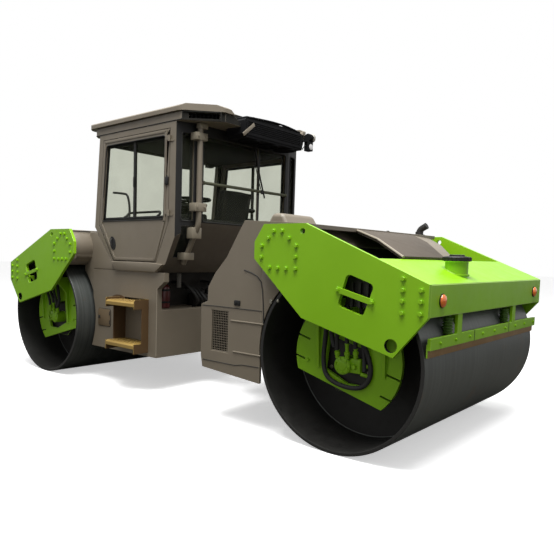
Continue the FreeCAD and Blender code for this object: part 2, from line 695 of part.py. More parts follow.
def grilles():
    """Slotted panels in the hood's side openings."""
    body = doc.addObject("PartDesign::Body", "grille")
    corners = (("-grille_rear", "grille_low"), ("-grille_front", "grille_low"),
               ("-grille_front", "grille_high"), ("-grille_rear", "grille_high"))
    face = "-(hood_half - 2)"
    feature(body, "Pad", outline(body, "XZ_Plane", face, corners), "grille_wall")
    slot = (("-grille_rear + 12", "grille_low + 12"), ("-grille_front - 12", "grille_low + 12"),
            ("-grille_front - 12", "grille_low + 30"), ("-grille_rear + 12", "grille_low + 30"))
    cutter = feature(body, "Pocket", outline(body, "XZ_Plane", face, slot), "grille_wall")
    rows = body.newObject("PartDesign::LinearPattern", "rows")
    rows.Originals = [cutter]
    rows.Direction = (plane_of(body, "XY_Plane"), [""])
    bind(rows, "Length", "grille_high - grille_low - 42")
    rows.Occurrences = 11
    body.Tip = rows
    other = doc.addObject("Part::Mirroring", "other_grille")
    other.Source = body
    other.Normal = ACROSS
    both = doc.addObject("Part::Compound", "grilles")
    both.Links = [body, other]
    return keep(both, "hood_grilles")


def engine():
    back = "-(engine_front + engine_long)"
    return keep(block("engine", (back, "-engine_wide / 2", "chassis_high"),
                      ("-engine_front", "engine_wide / 2", "chassis_high + engine_high")), "engine_block")


def rear_chassis():
    """Box frame under the hood, from the oscillation bearing to the cross beam."""
    spine = block("spine", ("-(%s - 80)" % BEAM_IN, "-chassis_half", "chassis_low"),
                  ("-chassis_front", "chassis_half", "chassis_high"))
    tie = block("tie", ("-(%s - 40)" % BEAM_IN, "-post_y - 40", "chassis_low + 200"),
                ("-(%s - 100)" % BEAM_IN, "post_y + 40", "chassis_high + 100"))
    pieces = [spine, tie]
    for side in ("post_y", "-post_y"):
        pieces.append(block("post", ("-(%s - 33)" % BEAM_IN, side + " - 40", "chassis_low + 200"),
                            ("-(%s - 78)" % BEAM_IN, side + " + 40", DRUM_TOP + " + 150")))
        pieces.append(block("arm", ("-(%s + 60)" % BEAM_IN, side + " - 40", DRUM_TOP + " + 50"),
                            ("-(%s - 78)" % BEAM_IN, side + " + 40", DRUM_TOP + " + 150")))
    bore = rod("swing_bore", "X", ("-chassis_front - 400", "0", "joint_z"), "410", "swing_radius + pin_fit")
    arch = rod("chassis_arch", "Y", ("-axle_x", "-post_y - 100", AXLE_Z), "2 * post_y + 200", ARCH)
    whole = fuse("chassis_whole", pieces)
    return keep(cut("chassis", whole, [bore, arch, SUBPARTS["rear_beam"]]), "rear_chassis")


def centre_joint():
    """Knuckle on the steering pin with the oscillation shaft behind it."""
    gap_low = "joint_z - lug_gap / 2"
    knuckle = rod("knuckle", "Z", ("0", "0", gap_low + " + 6"), "lug_gap - 12", "lug_radius - 30")
    pin = rod("pin", "Z", ("0", "0", gap_low + " - lug_wall"), "lug_gap + 2 * lug_wall", "pin_radius")
    shaft = rod("shaft", "X", ("-swing_end", "0", "joint_z"), "swing_end", "swing_radius")
    collar = rod("collar", "X", ("-(chassis_front - 8)", "0", "joint_z"), "60", "swing_radius + 45")
    arms = block("arms", ("-(ram_rear + 40)", "-(ram_y + 35)", "joint_z - arm_wall / 2"),
                 ("-(ram_rear - 40)", "ram_y + 35", "joint_z + arm_wall / 2"))
    return keep(fuse("joint", [knuckle, pin, shaft, collar, arms]), "centre_joint")


def front_body():
    """Bodywork and frame under the cab, with step recesses and a rear shelf."""
    table = (
        ("body_rear", "body_low"), ("%s + 200" % BEAM_IN, "body_low"), ("%s + 200" % BEAM_IN, AXLE_Z),
        ("%s - 4" % BEAM_IN, "860"), ("%s - 4" % BEAM_IN, "body_top"),
        ("95", "body_top"), ("95", "1048"), ("body_rear", "980"),
    )
    whole = side_prism("front_whole", table, "body_half")
    arch = rod("front_arch", "Y", ("axle_x", "-body_half - 10", AXLE_Z), "2 * body_half + 20", ARCH)
    recess = block("recess", ("0", "-body_half + shelf_side", "shelf_z"),
                   ("body_rear + shelf_deep", "body_half - shelf_side", "body_top + 10"))
    rooms = [block("step_room", ("step_rear", low, "step_low"), ("step_front", high, "step_high"))
             for low, high in (("body_half - step_deep", "body_half + 10"),
                               ("-body_half - 10", "-(body_half - step_deep)"))]
    pockets = [block("pocket", ("body_rear - 10", side + "- 100", "joint_z - ram_room"),
                     ("ram_front + 60", side + " + 100", "joint_z + ram_room"))
               for side in ("ram_y", "-ram_y")]
    rest = cut("front_cut", whole, [arch, recess] + rooms + pockets)
    lugs = [rod("ram_pin", "Z", ("ram_front", side, "joint_z - ram_room"), "2 * ram_room", "ram_pin_radius")
            for side in ("ram_y", "-ram_y")]
    for low in ("joint_z - lug_gap / 2 - lug_wall", "joint_z + lug_gap / 2"):
        lugs.append(block("lug", ("0", "-lug_radius", low),
                          ("body_rear + 5", "lug_radius", low + " + lug_wall")))
        lugs.append(rod("lug_nose", "Z", ("0", "0", low), "lug_wall", "lug_radius"))
    hitches = [block("hitch", (BEAM_IN + " - 10", side + " - 60", "940"),
                     (BEAM_IN + " + 80", side + " + 60", DRUM_TOP + " - beam_low + 60"))
               for side in ("post_y", "-post_y")]
    whole = fuse("front_joined", [rest] + lugs + hitches)
    bore = rod("pin_bore", "Z", ("0", "0", "joint_z - lug_gap / 2 - lug_wall - 5"),
               "lug_gap + 2 * lug_wall + 10", "pin_radius + pin_fit")
    room = rod("hitch_arch", "Y", ("axle_x", "-post_y - 100", AXLE_Z), "2 * post_y + 200", ARCH + " - 10")
    return keep(cut("front", whole, [bore, room, SUBPARTS["front_beam"]]), "front_body")


def steps():
    """A step on each side: two treads with turned-down edges between two C-shaped end sheets."""
    back = "body_half - step_deep"
    out = "body_half + step_out"
    web = "body_half + step_web"
    sheet = (
        (back, "step_low"), (out, "step_low"), (out, "step_low + step_arm"), (web, "step_low + step_arm"),
        (web, "step_high - step_arm"), (out, "step_high - step_arm"), (out, "step_high - 12"),
        (out + " - 12", "step_high"), (back, "step_high"),
    )
    pieces = [prism("sheet", "YZ_Plane", face, sheet, "step_wall")
              for face in ("step_rear", "step_front - step_wall")]
    for top in ("step_low + step_arm", "step_high - upper_drop"):
        tread = ((back, top), (out + " - 18", top), (out, top + " - 14"), (out, top + " - lip_high"),
                 (out + " - 6", top + " - lip_high"), (out + " - 6", top + " - 17"),
                 (out + " - 20", top + " - 6"), (back, top + " - 6"))
        pieces.append(prism("tread", "YZ_Plane", "step_rear + 4", tread, "step_front - step_rear - 8"))
    left = fuse("left_step", pieces)
    right = doc.addObject("Part::Mirroring", "right_step")
    right.Source = left
    right.Normal = ACROSS
    made = doc.addObject("Part::Compound", "steps")
    made.Links = [left, right]
    return keep(made, "step_treads")


def cab_outline(skin):
    """Side profile of the cab, drawn in from its outside by a skin."""
    s = skin
    return (
        ("-cab_rear + %s" % s, "cab_top - %s" % s),
        ("-cab_rear + %s" % s, "waist_z - 0.4 * %s" % s),
        ("83 + 1.2 * %s" % s, "1211 - 0.2 * %s" % s) if s != "0" else ("83", "1211"),
        ("194 + 0.7 * %s" % s, "cab_floor + %s" % s),
        ("804 - 0.2 * %s" % s, "cab_floor + %s" % s),
        ("884 - 0.6 * %s" % s, "sill_z + 0.4 * %s" % s),
        ("cab_front - 1.1 * %s" % s, "1557 + 0.4 * %s" % s),
        ("1105 - %s" % s, "cab_top - 47 - 0.5 * %s" % s),
        ("1100 - %s" % s, "cab_top - %s" % s),
    )


def door_outline(gap):
    """Outline of a cab door, drawn in by a gap."""
    g = gap
    return (
        ("post_wide - 30 + %s" % g, "lintel_z + 40 - %s" % g),
        ("post_wide - 20 + %s" % g, "waist_z - 9 + 0.2 * %s" % g),
        ("212 + 0.6 * %s" % g, "sill_z + %s" % g),
        ("860 - 0.5 * %s" % g, "sill_z + %s" % g),
        ("cab_front - front_post - 12 - %s" % g, "waist_z - 12 + 0.4 * %s" % g),
        ("1040 - %s" % g, "lintel_z + 40 - %s" % g),
    )


def pane_outline(gap):
    """Outline of a door's window, drawn in by a gap."""
    g = gap
    return (
        ("post_wide + 30 + %s" % g, "lintel_z - 20 - %s" % g),
        ("post_wide + 40 + %s" % g, "waist_z + 22 + %s" % g),
        ("cab_front - front_post - door_rim - %s" % g, "waist_z + 22 + %s" % g),
        ("985 - %s" % g, "lintel_z - 20 - %s" % g),
    )


# Lower ends of the door hinges.
HINGE_LEVELS = ("1640", "2290")


def corner_x(y, shift):
    """X on the cab's cut rear corner at a distance from the middle, moved in by a shift."""
    return "-cab_rear + ((%s) - corner_y) * corner_deep / (cab_half - corner_y) + %s" % (y, shift)


def corner_strip(name, low, high, begin, end, foot, top):
    """A piece along each cut corner: Y range, X shifts from the outside, Z range; left and right."""
    strips = []
    for side in ("", "-"):
        plan = [(corner_x(y, shift), "%s(%s)" % (side, y))
                for y, shift in ((low, begin), (high, begin), (high, end), (low, end))]
        strips.append(prism(name, "XY_Plane", foot, plan, "%s - (%s)" % (top, foot)))
    return strips


def cab():
    """Hollow cab frame with cut rear corners and openings for the doors and windows."""
    outside = side_prism("cab_outside", cab_outline("0"), "cab_half")
    hollow = side_prism("cab_inside", cab_outline("cab_skin"), "cab_half - cab_skin")
    near, reach, foot, top = "corner_y - 60", "cab_half + 20", "cab_floor - 10", "cab_top + 10"
    inside = cut("cab_hollow", hollow, corner_strip("inner_corner", near, reach, "-150", "45", foot, top))
    doorway = side_prism("doorway", door_outline("0"), "cab_half + 10")
    rear = block("rear_opening", ("-cab_rear - 10", "-(corner_y - 45)", "waist_z + 10"),
                 ("-cab_rear + cab_skin + 20", "corner_y - 45", "lintel_z"))
    front = block("front_opening", ("cab_front - 150", "-(cab_half - 90)", "waist_z + 10"),
                  ("cab_front + 10", "cab_half - 90", "lintel_z"))
    lower = block("lower_opening", ("870", "-(cab_half - 90)", "sill_z + 68"),
                  ("cab_front + 23", "cab_half - 90", "waist_z - 60"))
    openings = [inside, doorway, rear, front, lower]
    openings += corner_strip("corner", near, reach, "-150", "0", foot, top)
    openings += corner_strip("corner_window", PANE_IN, PANE_OUT, "-30", "80", "waist_z + 10", "lintel_z")
    for side in ("", "-"):
        window = [(side + y, z) for y, z in (
            ("(corner_y + 20)", "sill_z + 50"), ("(cab_half - 62)", "sill_z + 50"),
            ("(cab_half - 62)", "waist_z - 35"), ("(corner_y + 20)", "waist_z - 35"))]
        openings.append(prism("low_window", "YZ_Plane", "-cab_rear - 10", window, "280"))
    pieces = [cut("cab", outside, openings)]
    pieces.append(rod("guard", "Y", ("-cab_rear - guard_radius + 2", "-(corner_y - 34)", "guard_z"),
                      "2 * (corner_y - 34)", "guard_radius"))
    pieces.append(block("divider", ("-cab_rear", "-divider_y - 14", "waist_z"),
                        ("-cab_rear + 15 - glass_gap", "-divider_y + 14", "lintel_z + 10")))
    for level in HINGE_LEVELS:
        for side in ("", "-"):
            y_pin = "%s(cab_half + hinge_out)" % side
            pieces.append(rod("hinge_pin", "Z", ("hinge_x", y_pin, level), "54", "hinge_pin"))
            pieces.append(rod("hinge_foot", "Z", ("hinge_x", y_pin, level), "16", "hinge_barrel"))
            middle = "%s(cab_half + 2)" % side
            pieces.append(block("hinge_leaf", ("hinge_x - 50", middle + " - 4", level),
                                ("hinge_x", middle + " + 4", level + " + 16")))
    return keep(fuse("cab_whole", pieces), "cab_frame")


def doors():
    pane = prism("door_pane", "XZ_Plane", "-(cab_half + 5)", pane_outline("0"), "door_wall + 20")
    leaf = prism("door_leaf", "XZ_Plane", "-(cab_half)", door_outline("door_gap"), "door_wall")
    knuckles, holes = [], []
    for level in HINGE_LEVELS:
        place = ("hinge_x", "cab_half + hinge_out", level + " + 17")
        knuckles.append(rod("knuckle", "Z", place, "36", "hinge_barrel"))
        holes.append(rod("knuckle_hole", "Z", place, "36", "hinge_pin + pin_fit"))
        knuckles.append(block("knuckle_leaf", ("hinge_x", "cab_half + 1", level + " + 17"),
                              ("hinge_x + 60", "cab_half + 7", level + " + 53")))
        knuckles.append(block("knuckle_seat", ("hinge_x + 20", "cab_half - 3", level + " + 17"),
                              ("hinge_x + 60", "cab_half + 7", level + " + 53")))
    whole = fuse("door_whole", [cut("door_frame", leaf, [pane])] + knuckles)
    left_and_right(cut("door", whole, holes), "%s_door")
    glass = prism("door_glass", "XZ_Plane", "-(cab_half - door_wall / 2 + glass_wall / 2)",
                  pane_outline("glass_gap"), "glass_wall")
    left_and_right(glass, "%s_door_glass")


def fixed_glass():
    """Rear window with the two corner panes, and the windscreen."""
    low, high = "waist_z + 10 + glass_gap", "lintel_z - glass_gap"
    edge = "corner_y - 45 - glass_gap"
    rear = block("rear_pane", ("-cab_rear + 15", "-(%s)" % edge, low),
                 ("-cab_rear + 15 + glass_wall", edge, high))
    panes = doc.addObject("Part::Compound", "rear_panes")
    panes.Links = [rear] + corner_strip("corner_pane", PANE_IN + " + glass_gap", PANE_OUT + " - glass_gap",
                                        "15", "15 + glass_wall", low, high)
    keep(panes, "rear_glass")
    slant = "(cab_front - 1105) / (cab_top - 47 - 1557)"
    table = (
        ("cab_front - (%s - 1557) * %s - 20" % (low, slant), low),
        ("cab_front - (%s - 1557) * %s - 20 - glass_wall" % (low, slant), low),
        ("cab_front - (%s - 1557) * %s - 20 - glass_wall" % (high, slant), high),
        ("cab_front - (%s - 1557) * %s - 20" % (high, slant), high),
    )
    keep(side_prism("front_glass", table, "cab_half - 90 - glass_gap"), "front_glass")


def roof_plan(front, half, corner, rear):
    """Plan of one layer of the roof, with small front corners and the large cut rear ones."""
    side = (("-cab_rear", half), ("%s - %s" % (front, corner), half), (front, "%s - %s" % (half, corner)))
    side = (("-(%s)" % rear, half + " - roof_corner"),) + side
    return tuple((x, "-(%s)" % y) for x, y in side) + tuple(reversed(side))


def roof():
    """Domed cap over a set-in band; the rear right is cut away for the cooling unit."""
    cap_low = "cab_top + fascia_high + groove_high"
    edge = cap_low + " + cap_edge"
    half = "cab_half + roof_past"
    band_plan = roof_plan("roof_front - 90", "cab_half", "50", "roof_rear - 12")
    band = prism("band", "XY_Plane", "cab_top", band_plan, "fascia_high")
    groove_plan = roof_plan("roof_front - 90 - groove_deep", "cab_half - groove_deep", "50",
                            "roof_rear - 12 - groove_deep")
    groove = prism("groove", "XY_Plane", "cab_top + fascia_high - 1", groove_plan, "groove_high + 2")
    body = doc.addObject("PartDesign::Body", "cap_plan")
    plan = outline(body, "XY_Plane", cap_low, roof_plan("roof_front", half, "70", "roof_rear"))
    feature(body, "Pad", plan, "crown_high")
    round_corners(body, plan, "roof_round")
    long_side = (
        ("-(roof_rear + 5)", cap_low), ("-(roof_rear + 5)", edge + " - 3"),
        ("-(roof_rear - 45)", edge + " + 22"), ("-(roof_rear - 250)", edge + " + 60"),
        ("250", edge + " + 80"), ("800", edge + " + 80"),
        ("roof_front - 150", edge + " + 52"), ("roof_front - 45", edge + " + 22"),
        ("roof_front + 5", edge + " - 3"), ("roof_front + 5", cap_low),
    )
    half_section = (
        (half + " + 5", cap_low), (half + " + 5", edge + " - 3"), (half + " - 40", edge + " + 22"),
        (half + " - 140", edge + " + 54"), (half + " - 400", edge + " + 79"),
    )
    across = prism("cap_section", "YZ_Plane", "-(roof_rear + 10)", both_sides(half_section),
                   "roof_front + roof_rear + 20")
    cap = doc.addObject("Part::MultiCommon", "cap")
    cap.Shapes = [body, side_prism("cap_profile", long_side, half + " + 10"), across]
    notch = (
        ("unit_left + 5", "cab_top - 5"), ("unit_left + 5", "cab_top + 20"), ("unit_left + 145", edge),
        ("unit_left + 145", edge + " + 100"), ("-unit_right - 50", edge + " + 100"),
        ("-unit_right - 50", edge), ("-unit_right - 5", "cab_top + 20"), ("-unit_right - 5", "cab_top - 5"),
    )
    room = prism("unit_room", "YZ_Plane", "-(roof_rear + 20)", notch, "unit_deep - unit_past + 22")
    intakes = []
    for side in ("", "-"):
        pocket = [("-(cab_rear + 95)", "(cab_half + 5)"), ("-(roof_rear + 20)", "(cab_half - 200)"),
                  ("-(roof_rear - 40 - intake_deep)", "(cab_half - 250 - intake_deep)"),
                  ("-(cab_rear + 35 - intake_deep)", "(cab_half - 45 - intake_deep)")]
        plan = [(x, side + y) for x, y in pocket]
        intakes.append(prism("intake", "XY_Plane", "cab_top + 12", plan, "fascia_high - 20"))
    whole = fuse("roof_whole", [band, groove, cap])
    return keep(cut("roof_cut", whole, [room] + intakes), "roof")


def roof_fittings():
    """Cooling unit behind the roof with its brackets, lamp arm and lamp; the two front work lamps."""
    back = "-(roof_rear + unit_past)"
    low, high = "cab_top - unit_low", "cab_top + unit_high"
    box = (("-unit_right", low + " + 30"), ("-unit_right + 30", low), ("unit_left - 30", low),
           ("unit_left", low + " + 30"), ("unit_left", high + " - 20"), ("unit_left - 20", high),
           ("-unit_right + 20", high), ("-unit_right", high + " - 20"))
    pieces = [prism("unit", "YZ_Plane", back, box, "unit_deep")]
    for side in ("-150", "-420", "150"):
        pieces.append(block("bracket", (back + " + unit_deep - 5", side + " - 15", "cab_top - 60"),
                            ("-cab_rear", side + " + 15", "cab_top - 35")))
    arm_x = back + " - 25"
    pieces.append(block("lamp_arm", (arm_x, "-unit_right - 150", "cab_top + 5"),
                        (arm_x + " + 30", "-unit_right + 5", "cab_top + 20")))
    pieces.append(rod("beacon", "Y", (arm_x + " + 15", "-unit_right - 145", "cab_top + 55"), "75", "40"))
    pieces.append(block("rear_lamp", (arm_x + " - 20", "-unit_right - 120", "cab_top - 80"),
                        (arm_x + " + 40", "-unit_right - 50", "cab_top + 10")))
    keep(fuse("rear_unit", pieces), "roof_unit")
    lamps = doc.addObject("Part::Compound", "work_lamps")
    lamps.Links = [fuse("lamp", [block("lamp_box", ("1150", side + " - 45", "cab_top - 95"),
                                       ("1210", side + " + 45", "cab_top - 8")),
                                 block("lamp_arm", ("1103.5", side + " - 15", "cab_top - 30"),
                                       ("1155", side + " + 15", "cab_top - 15"))])
                   for side in ("760", "-760")]
    keep(lamps, "work_lamps")


def seat():
    """Driver's seat: box base, wedge cushion and leaning back."""
    base = block("seat_base", ("seat_x - 95", "-160", "cab_floor + cab_skin"), ("seat_x + 180", "160",
                                                                                "seat_z - 110"))
    cushion = (("seat_x - 200", "seat_z - 125"), ("seat_x + 265", "seat_z - 115"),
               ("seat_x + 275", "seat_z"), ("seat_x - 190", "seat_z - 25"))
    back = (("seat_x - 255", "seat_z - 90"), ("seat_x - 160", "seat_z - 80"),
            ("seat_x - 215", "seat_z + 290"), ("seat_x - 235", "seat_z + 315"),
            ("seat_x - 300", "seat_z + 315"), ("seat_x - 318", "seat_z + 290"))
    keep(fuse("seat", [base, side_prism("cushion", cushion, "seat_wide / 2"),
                       side_prism("back", back, "seat_wide / 2")]), "seat")


def console():
    """Steering stand: tapered foot, column, and a wheel whose rim is six-sided."""
    stand = (("column_x - 60", "cab_floor + cab_skin"), ("column_x + 95", "cab_floor + cab_skin"),
             ("column_x + 80", "1560"), ("column_x - 45", "1560"))
    foot = side_prism("console", stand, "140")
    column = rod("column", "Z", ("column_x", "0", "1550"), "wheel_z - 1550 + 10", "35")
    rim = turned("rim", "XZ_Plane", tuple(
        ("wheel_radius + wheel_tube * cos(%d)" % turn, "wheel_z + wheel_tube * sin(%d)" % turn)
        for turn in range(0, 360, 60)), "V_Axis")
    bind(rim, ".Placement.Base.x", "column_x")
    spoke = block("spoke", ("column_x - wheel_radius", "-18", "wheel_z - 9"),
                  ("column_x + wheel_radius", "18", "wheel_z + 6"))
    keep(fuse("steering", [foot, column, rim, spoke]), "steering_console")


def extinguisher():
    place = ("body_rear + 150", "body_half - 240")
    bottle = rod("bottle", "Z", place + ("shelf_z",), "235", "62")
    valve = rod("valve", "Z", place + ("shelf_z + 230",), "40", "22")
    keep(fuse("extinguisher", [bottle, valve]), "fire_extinguisher")


def exhaust():
    """Tail that rises through the hood and bends back."""
    x, y = -SIZE["exhaust_x"], -SIZE["exhaust_y"]
    foot = 2 * SIZE["drum_radius"] + SIZE["beam_high"]
    points = [FreeCAD.Vector(x, y, foot), FreeCAD.Vector(x, y, foot + 85),
              FreeCAD.Vector(x - 70, y, foot + 125)]
    keep(bent_tube("exhaust", points, SIZE["exhaust_radius"], 60), "exhaust_pipe")


def post_pipe():
    """Pipe down the rear left post and the cab's slanted foot, on two clamps, with a junction box."""
    x, y = -SIZE["cab_rear"] - 40, SIZE["corner_y"] - 30
    points = [FreeCAD.Vector(x, y, SIZE["cab_top"] - 25), FreeCAD.Vector(x, y, SIZE["waist_z"] - 38),
              FreeCAD.Vector(x + 183, y + 26, 1215)]
    pieces = [bent_tube("pipe", points, SIZE["pipe_radius"], 90)]
    for low, high in (("cab_top - 95", "cab_top - 40"), ("waist_z + 125", "waist_z + 180")):
        pieces.append(block("clamp", ("-cab_rear - 66", "corner_y - 60", low),
                            ("-cab_rear", "corner_y", high)))
    pieces.append(block("junction_box", ("-cab_rear - 66", "corner_y - 5", "cab_top - 48"),
                        ("-cab_rear - 20", "corner_y + 75", "cab_top - 4")))
    pieces.append(block("box_foot", ("-cab_rear - 60", "corner_y - 50", "cab_top - 75"),
                        ("-cab_rear - 24", "corner_y + 10", "cab_top - 40")))
    keep(fuse("post_pipe", pieces), "post_pipe")


def steering_rams():
    """Two rams, each a barrel on the front body's pin and a forked rod over the centre joint's arm."""
    gland_x = "ram_front - barrel_long"
    tube = rod("ram_tube", "X", (gland_x, "ram_y", "joint_z"), "barrel_long", "barrel_radius")
    eye = rod("ram_eye", "Z", ("ram_front", "ram_y", "joint_z - eye_half"), "2 * eye_half", "eye_radius")
    bore = rod("ram_bore", "X", (gland_x + " + 25", "ram_y", "joint_z"),
               "barrel_long - eye_radius - 30", "bore_radius")
    gland = rod("ram_gland", "X", (gland_x + " - 1", "ram_y", "joint_z"), "30", "rod_radius + rod_fit")
    pin_hole = rod("ram_hole", "Z", ("ram_front", "ram_y", "joint_z - barrel_radius - 1"),
                   "2 * barrel_radius + 2", "ram_pin_radius + pin_fit")
    whole = fuse("barrel_whole", [tube, eye])
    left_and_right(cut("barrel", whole, [bore, gland, pin_hole]), "%s_ram_barrel")
    fork_root = "-ram_rear + fork_deep"
    shaft = rod("ram_shaft", "X", (fork_root, "ram_y", "joint_z"), "rod_long", "rod_radius")
    piston = rod("ram_piston", "X", (fork_root + " + rod_long - 30", "ram_y", "joint_z"), "30",
                 "bore_radius - rod_fit")
    half = "arm_wall / 2 + fork_gap"
    root = block("fork_root", (fork_root, "ram_y - 28", "joint_z - (%s) - fork_wall" % half),
                 (fork_root + " + 25", "ram_y + 28", "joint_z + %s + fork_wall" % half))
    pieces = [shaft, piston, root]
    for low in ("joint_z + " + half, "joint_z - (%s) - fork_wall" % half):
        pieces.append(block("fork_ear", ("-ram_rear", "ram_y - 28", low),
                            (fork_root + " + 5", "ram_y + 28", low + " + fork_wall")))
        pieces.append(rod("fork_nose", "Z", ("-ram_rear", "ram_y", low), "fork_wall", "28"))
    left_and_right(fuse("ram_rod", pieces), "%s_ram_rod")


half_machine()
covers = sloping_cover()
keep(covers, "front_cover")
mirror(covers, ALONG, "rear_cover")
keep(engine_hood(), "engine_hood")
grilles()
engine()
rear_chassis()
centre_joint()
front_body()
steering_rams()
steps()
cab()
doors()
fixed_glass()
roof()
roof_fittings()
seat()
console()
extinguisher()
exhaust()
post_pipe()
doc.recompute()

for thing in doc.Objects:
    if "Invalid" in thing.State or "Error" in thing.State:
        raise RuntimeError("%s failed: %s" % (thing.Label, thing.State))
os.makedirs("parts", exist_ok=True)
for label, thing in SUBPARTS.items():
    if thing.Shape.isNull() or not thing.Shape.isValid():
        raise RuntimeError("%s has no valid shape" % label)
    thing.Shape.exportStep(os.path.join("parts", label + ".step"))
    print("%-22s %d solids %8.4f m3" % (label, len(thing.Shape.Solids), thing.Shape.Volume / 1e9))
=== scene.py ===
import json
import math

import bpy
from mathutils import Matrix, Vector


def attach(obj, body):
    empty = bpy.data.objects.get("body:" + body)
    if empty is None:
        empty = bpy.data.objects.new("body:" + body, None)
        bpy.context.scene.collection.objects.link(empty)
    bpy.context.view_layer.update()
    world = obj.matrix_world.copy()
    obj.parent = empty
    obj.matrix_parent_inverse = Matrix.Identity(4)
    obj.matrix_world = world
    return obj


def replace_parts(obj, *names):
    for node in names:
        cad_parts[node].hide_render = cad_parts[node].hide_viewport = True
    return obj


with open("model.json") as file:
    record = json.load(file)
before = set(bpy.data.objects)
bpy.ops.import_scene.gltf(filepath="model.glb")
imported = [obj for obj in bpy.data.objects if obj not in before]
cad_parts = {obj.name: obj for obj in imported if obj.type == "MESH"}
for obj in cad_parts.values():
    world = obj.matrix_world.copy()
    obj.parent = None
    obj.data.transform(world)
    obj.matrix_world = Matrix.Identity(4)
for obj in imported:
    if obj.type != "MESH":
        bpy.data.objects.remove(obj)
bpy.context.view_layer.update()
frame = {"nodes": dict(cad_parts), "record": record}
nodes = frame["nodes"]
SLOTS = {part["node"]: part["material_slot"] for part in frame["record"]["subparts"]}
BODIES = {node: body for body, held in frame["record"]["behaviour"]["bodies"].items() for node in held}

# The photograph's camera: focal length and optical centre in pixels of a 554 x 554 frame.
FRAME_PX = 554
FOCAL_PX = 574.3
CENTRE_PX = (232.0, 297.8)
CAMERA_AT = (-3.845, 4.292, 1.301)
CAMERA_YAW, CAMERA_PITCH, CAMERA_ROLL = -47.69, -4.19, 1.45
SENSOR = 36


def add_camera():
    """Puts the camera where the photograph was taken from."""
    yaw, pitch, roll = (math.radians(turn) for turn in (CAMERA_YAW, CAMERA_PITCH, CAMERA_ROLL))
    ahead = Vector((math.cos(pitch) * math.cos(yaw), math.cos(pitch) * math.sin(yaw), math.sin(pitch)))
    level = Vector((math.sin(yaw), -math.cos(yaw), 0))
    above = level.cross(ahead)
    right = math.cos(roll) * level + math.sin(roll) * above
    up = math.cos(roll) * above - math.sin(roll) * level
    data = bpy.data.cameras.new("camera")
    data.sensor_width = SENSOR
    data.lens = FOCAL_PX / FRAME_PX * SENSOR
    data.shift_x = (FRAME_PX / 2 - CENTRE_PX[0]) / FRAME_PX
    data.shift_y = (CENTRE_PX[1] - FRAME_PX / 2) / FRAME_PX
    data.clip_end = 200
    camera = bpy.data.objects.new("camera", data)
    turned = Matrix((right, up, -ahead)).transposed().to_4x4()
    camera.matrix_world = Matrix.Translation(CAMERA_AT) @ turned
    bpy.context.scene.collection.objects.link(camera)
    bpy.context.scene.camera = camera


# Materials
def linear(code):
    """An sRGB hex value as the linear colour that a shader takes."""
    parts = [int(code[i:i + 2], 16) / 255 for i in (1, 3, 5)]
    return tuple(p / 12.92 if p <= 0.04045 else ((p + 0.055) / 1.055) ** 2.4 for p in parts) + (1,)


def add_node(tree, kind, values=None, links=None, **settings):
    """Adds one node with its own settings, its sockets' values and its links."""
    node = tree.nodes.new("ShaderNode" + kind)
    for name, value in settings.items():
        setattr(node, name, value)
    for name, value in (values or {}).items():
        node.inputs[name].default_value = value
    for name, source in (links or {}).items():
        tree.links.new(source, node.inputs[name])
    return node


def start_material(name, **values):
    """A new material with its shader; the values go on the shader's own sockets."""
    material = bpy.data.materials.new(name)
    material.use_nodes = True
    shader = material.node_tree.nodes["Principled BSDF"]
    for socket, value in values.items():
        shader.inputs[socket.replace("_", " ")].default_value = value
    return material, material.node_tree, shader


def enamel(name, code, deep, dust, dusty, smooth, rough, **values):
    """Sprayed machine enamel: cloudy colour, dust that thickens towards the ground, orange peel."""
    material, tree, shader = start_material(name, **values)
    place = add_node(tree, "TexCoord").outputs["Object"]
    cloud = add_node(tree, "TexNoise", {"Scale": 1.1, "Detail": 5, "Roughness": 0.6}, {"Vector": place})
    shade = add_node(tree, "ValToRGB", links={"Fac": cloud.outputs["Fac"]})
    shade.color_ramp.elements[0].position = 0.35
    shade.color_ramp.elements[1].position = 0.7
    shade.color_ramp.elements[0].color = linear(deep)
    shade.color_ramp.elements[1].color = linear(code)
    height = add_node(tree, "SeparateXYZ", links={"Vector": place}).outputs["Z"]
    low = add_node(tree, "MapRange", {"From Min": 0.1, "From Max": 1.5, "To Min": dusty, "To Max": dusty / 6},
                   {"Value": height})
    grit = add_node(tree, "TexNoise", {"Scale": 11, "Detail": 9, "Roughness": 0.72}, {"Vector": place})
    film = add_node(tree, "Math", links={0: low.outputs["Result"], 1: grit.outputs["Fac"]}, operation="MULTIPLY")
    colour = add_node(tree, "Mix", {7: linear(dust)}, {0: film.outputs[0], 6: shade.outputs["Color"]},
                      data_type="RGBA")
    sheen = add_node(tree, "MapRange", {"From Min": 0.3, "From Max": 0.75, "To Min": smooth, "To Max": rough},
                     {"Value": grit.outputs["Fac"]})
    # Orange peel is about 3 mm across.
    peel = add_node(tree, "TexNoise", {"Scale": 330, "Detail": 1}, {"Vector": place})
    bump = add_node(tree, "Bump", {"Strength": 0.06, "Distance": 0.0006}, {"Height": peel.outputs["Fac"]})
    tree.links.new(colour.outputs[2], shader.inputs["Base Color"])
    tree.links.new(sheen.outputs["Result"], shader.inputs["Roughness"])
    tree.links.new(bump.outputs["Normal"], shader.inputs["Normal"])
    return material


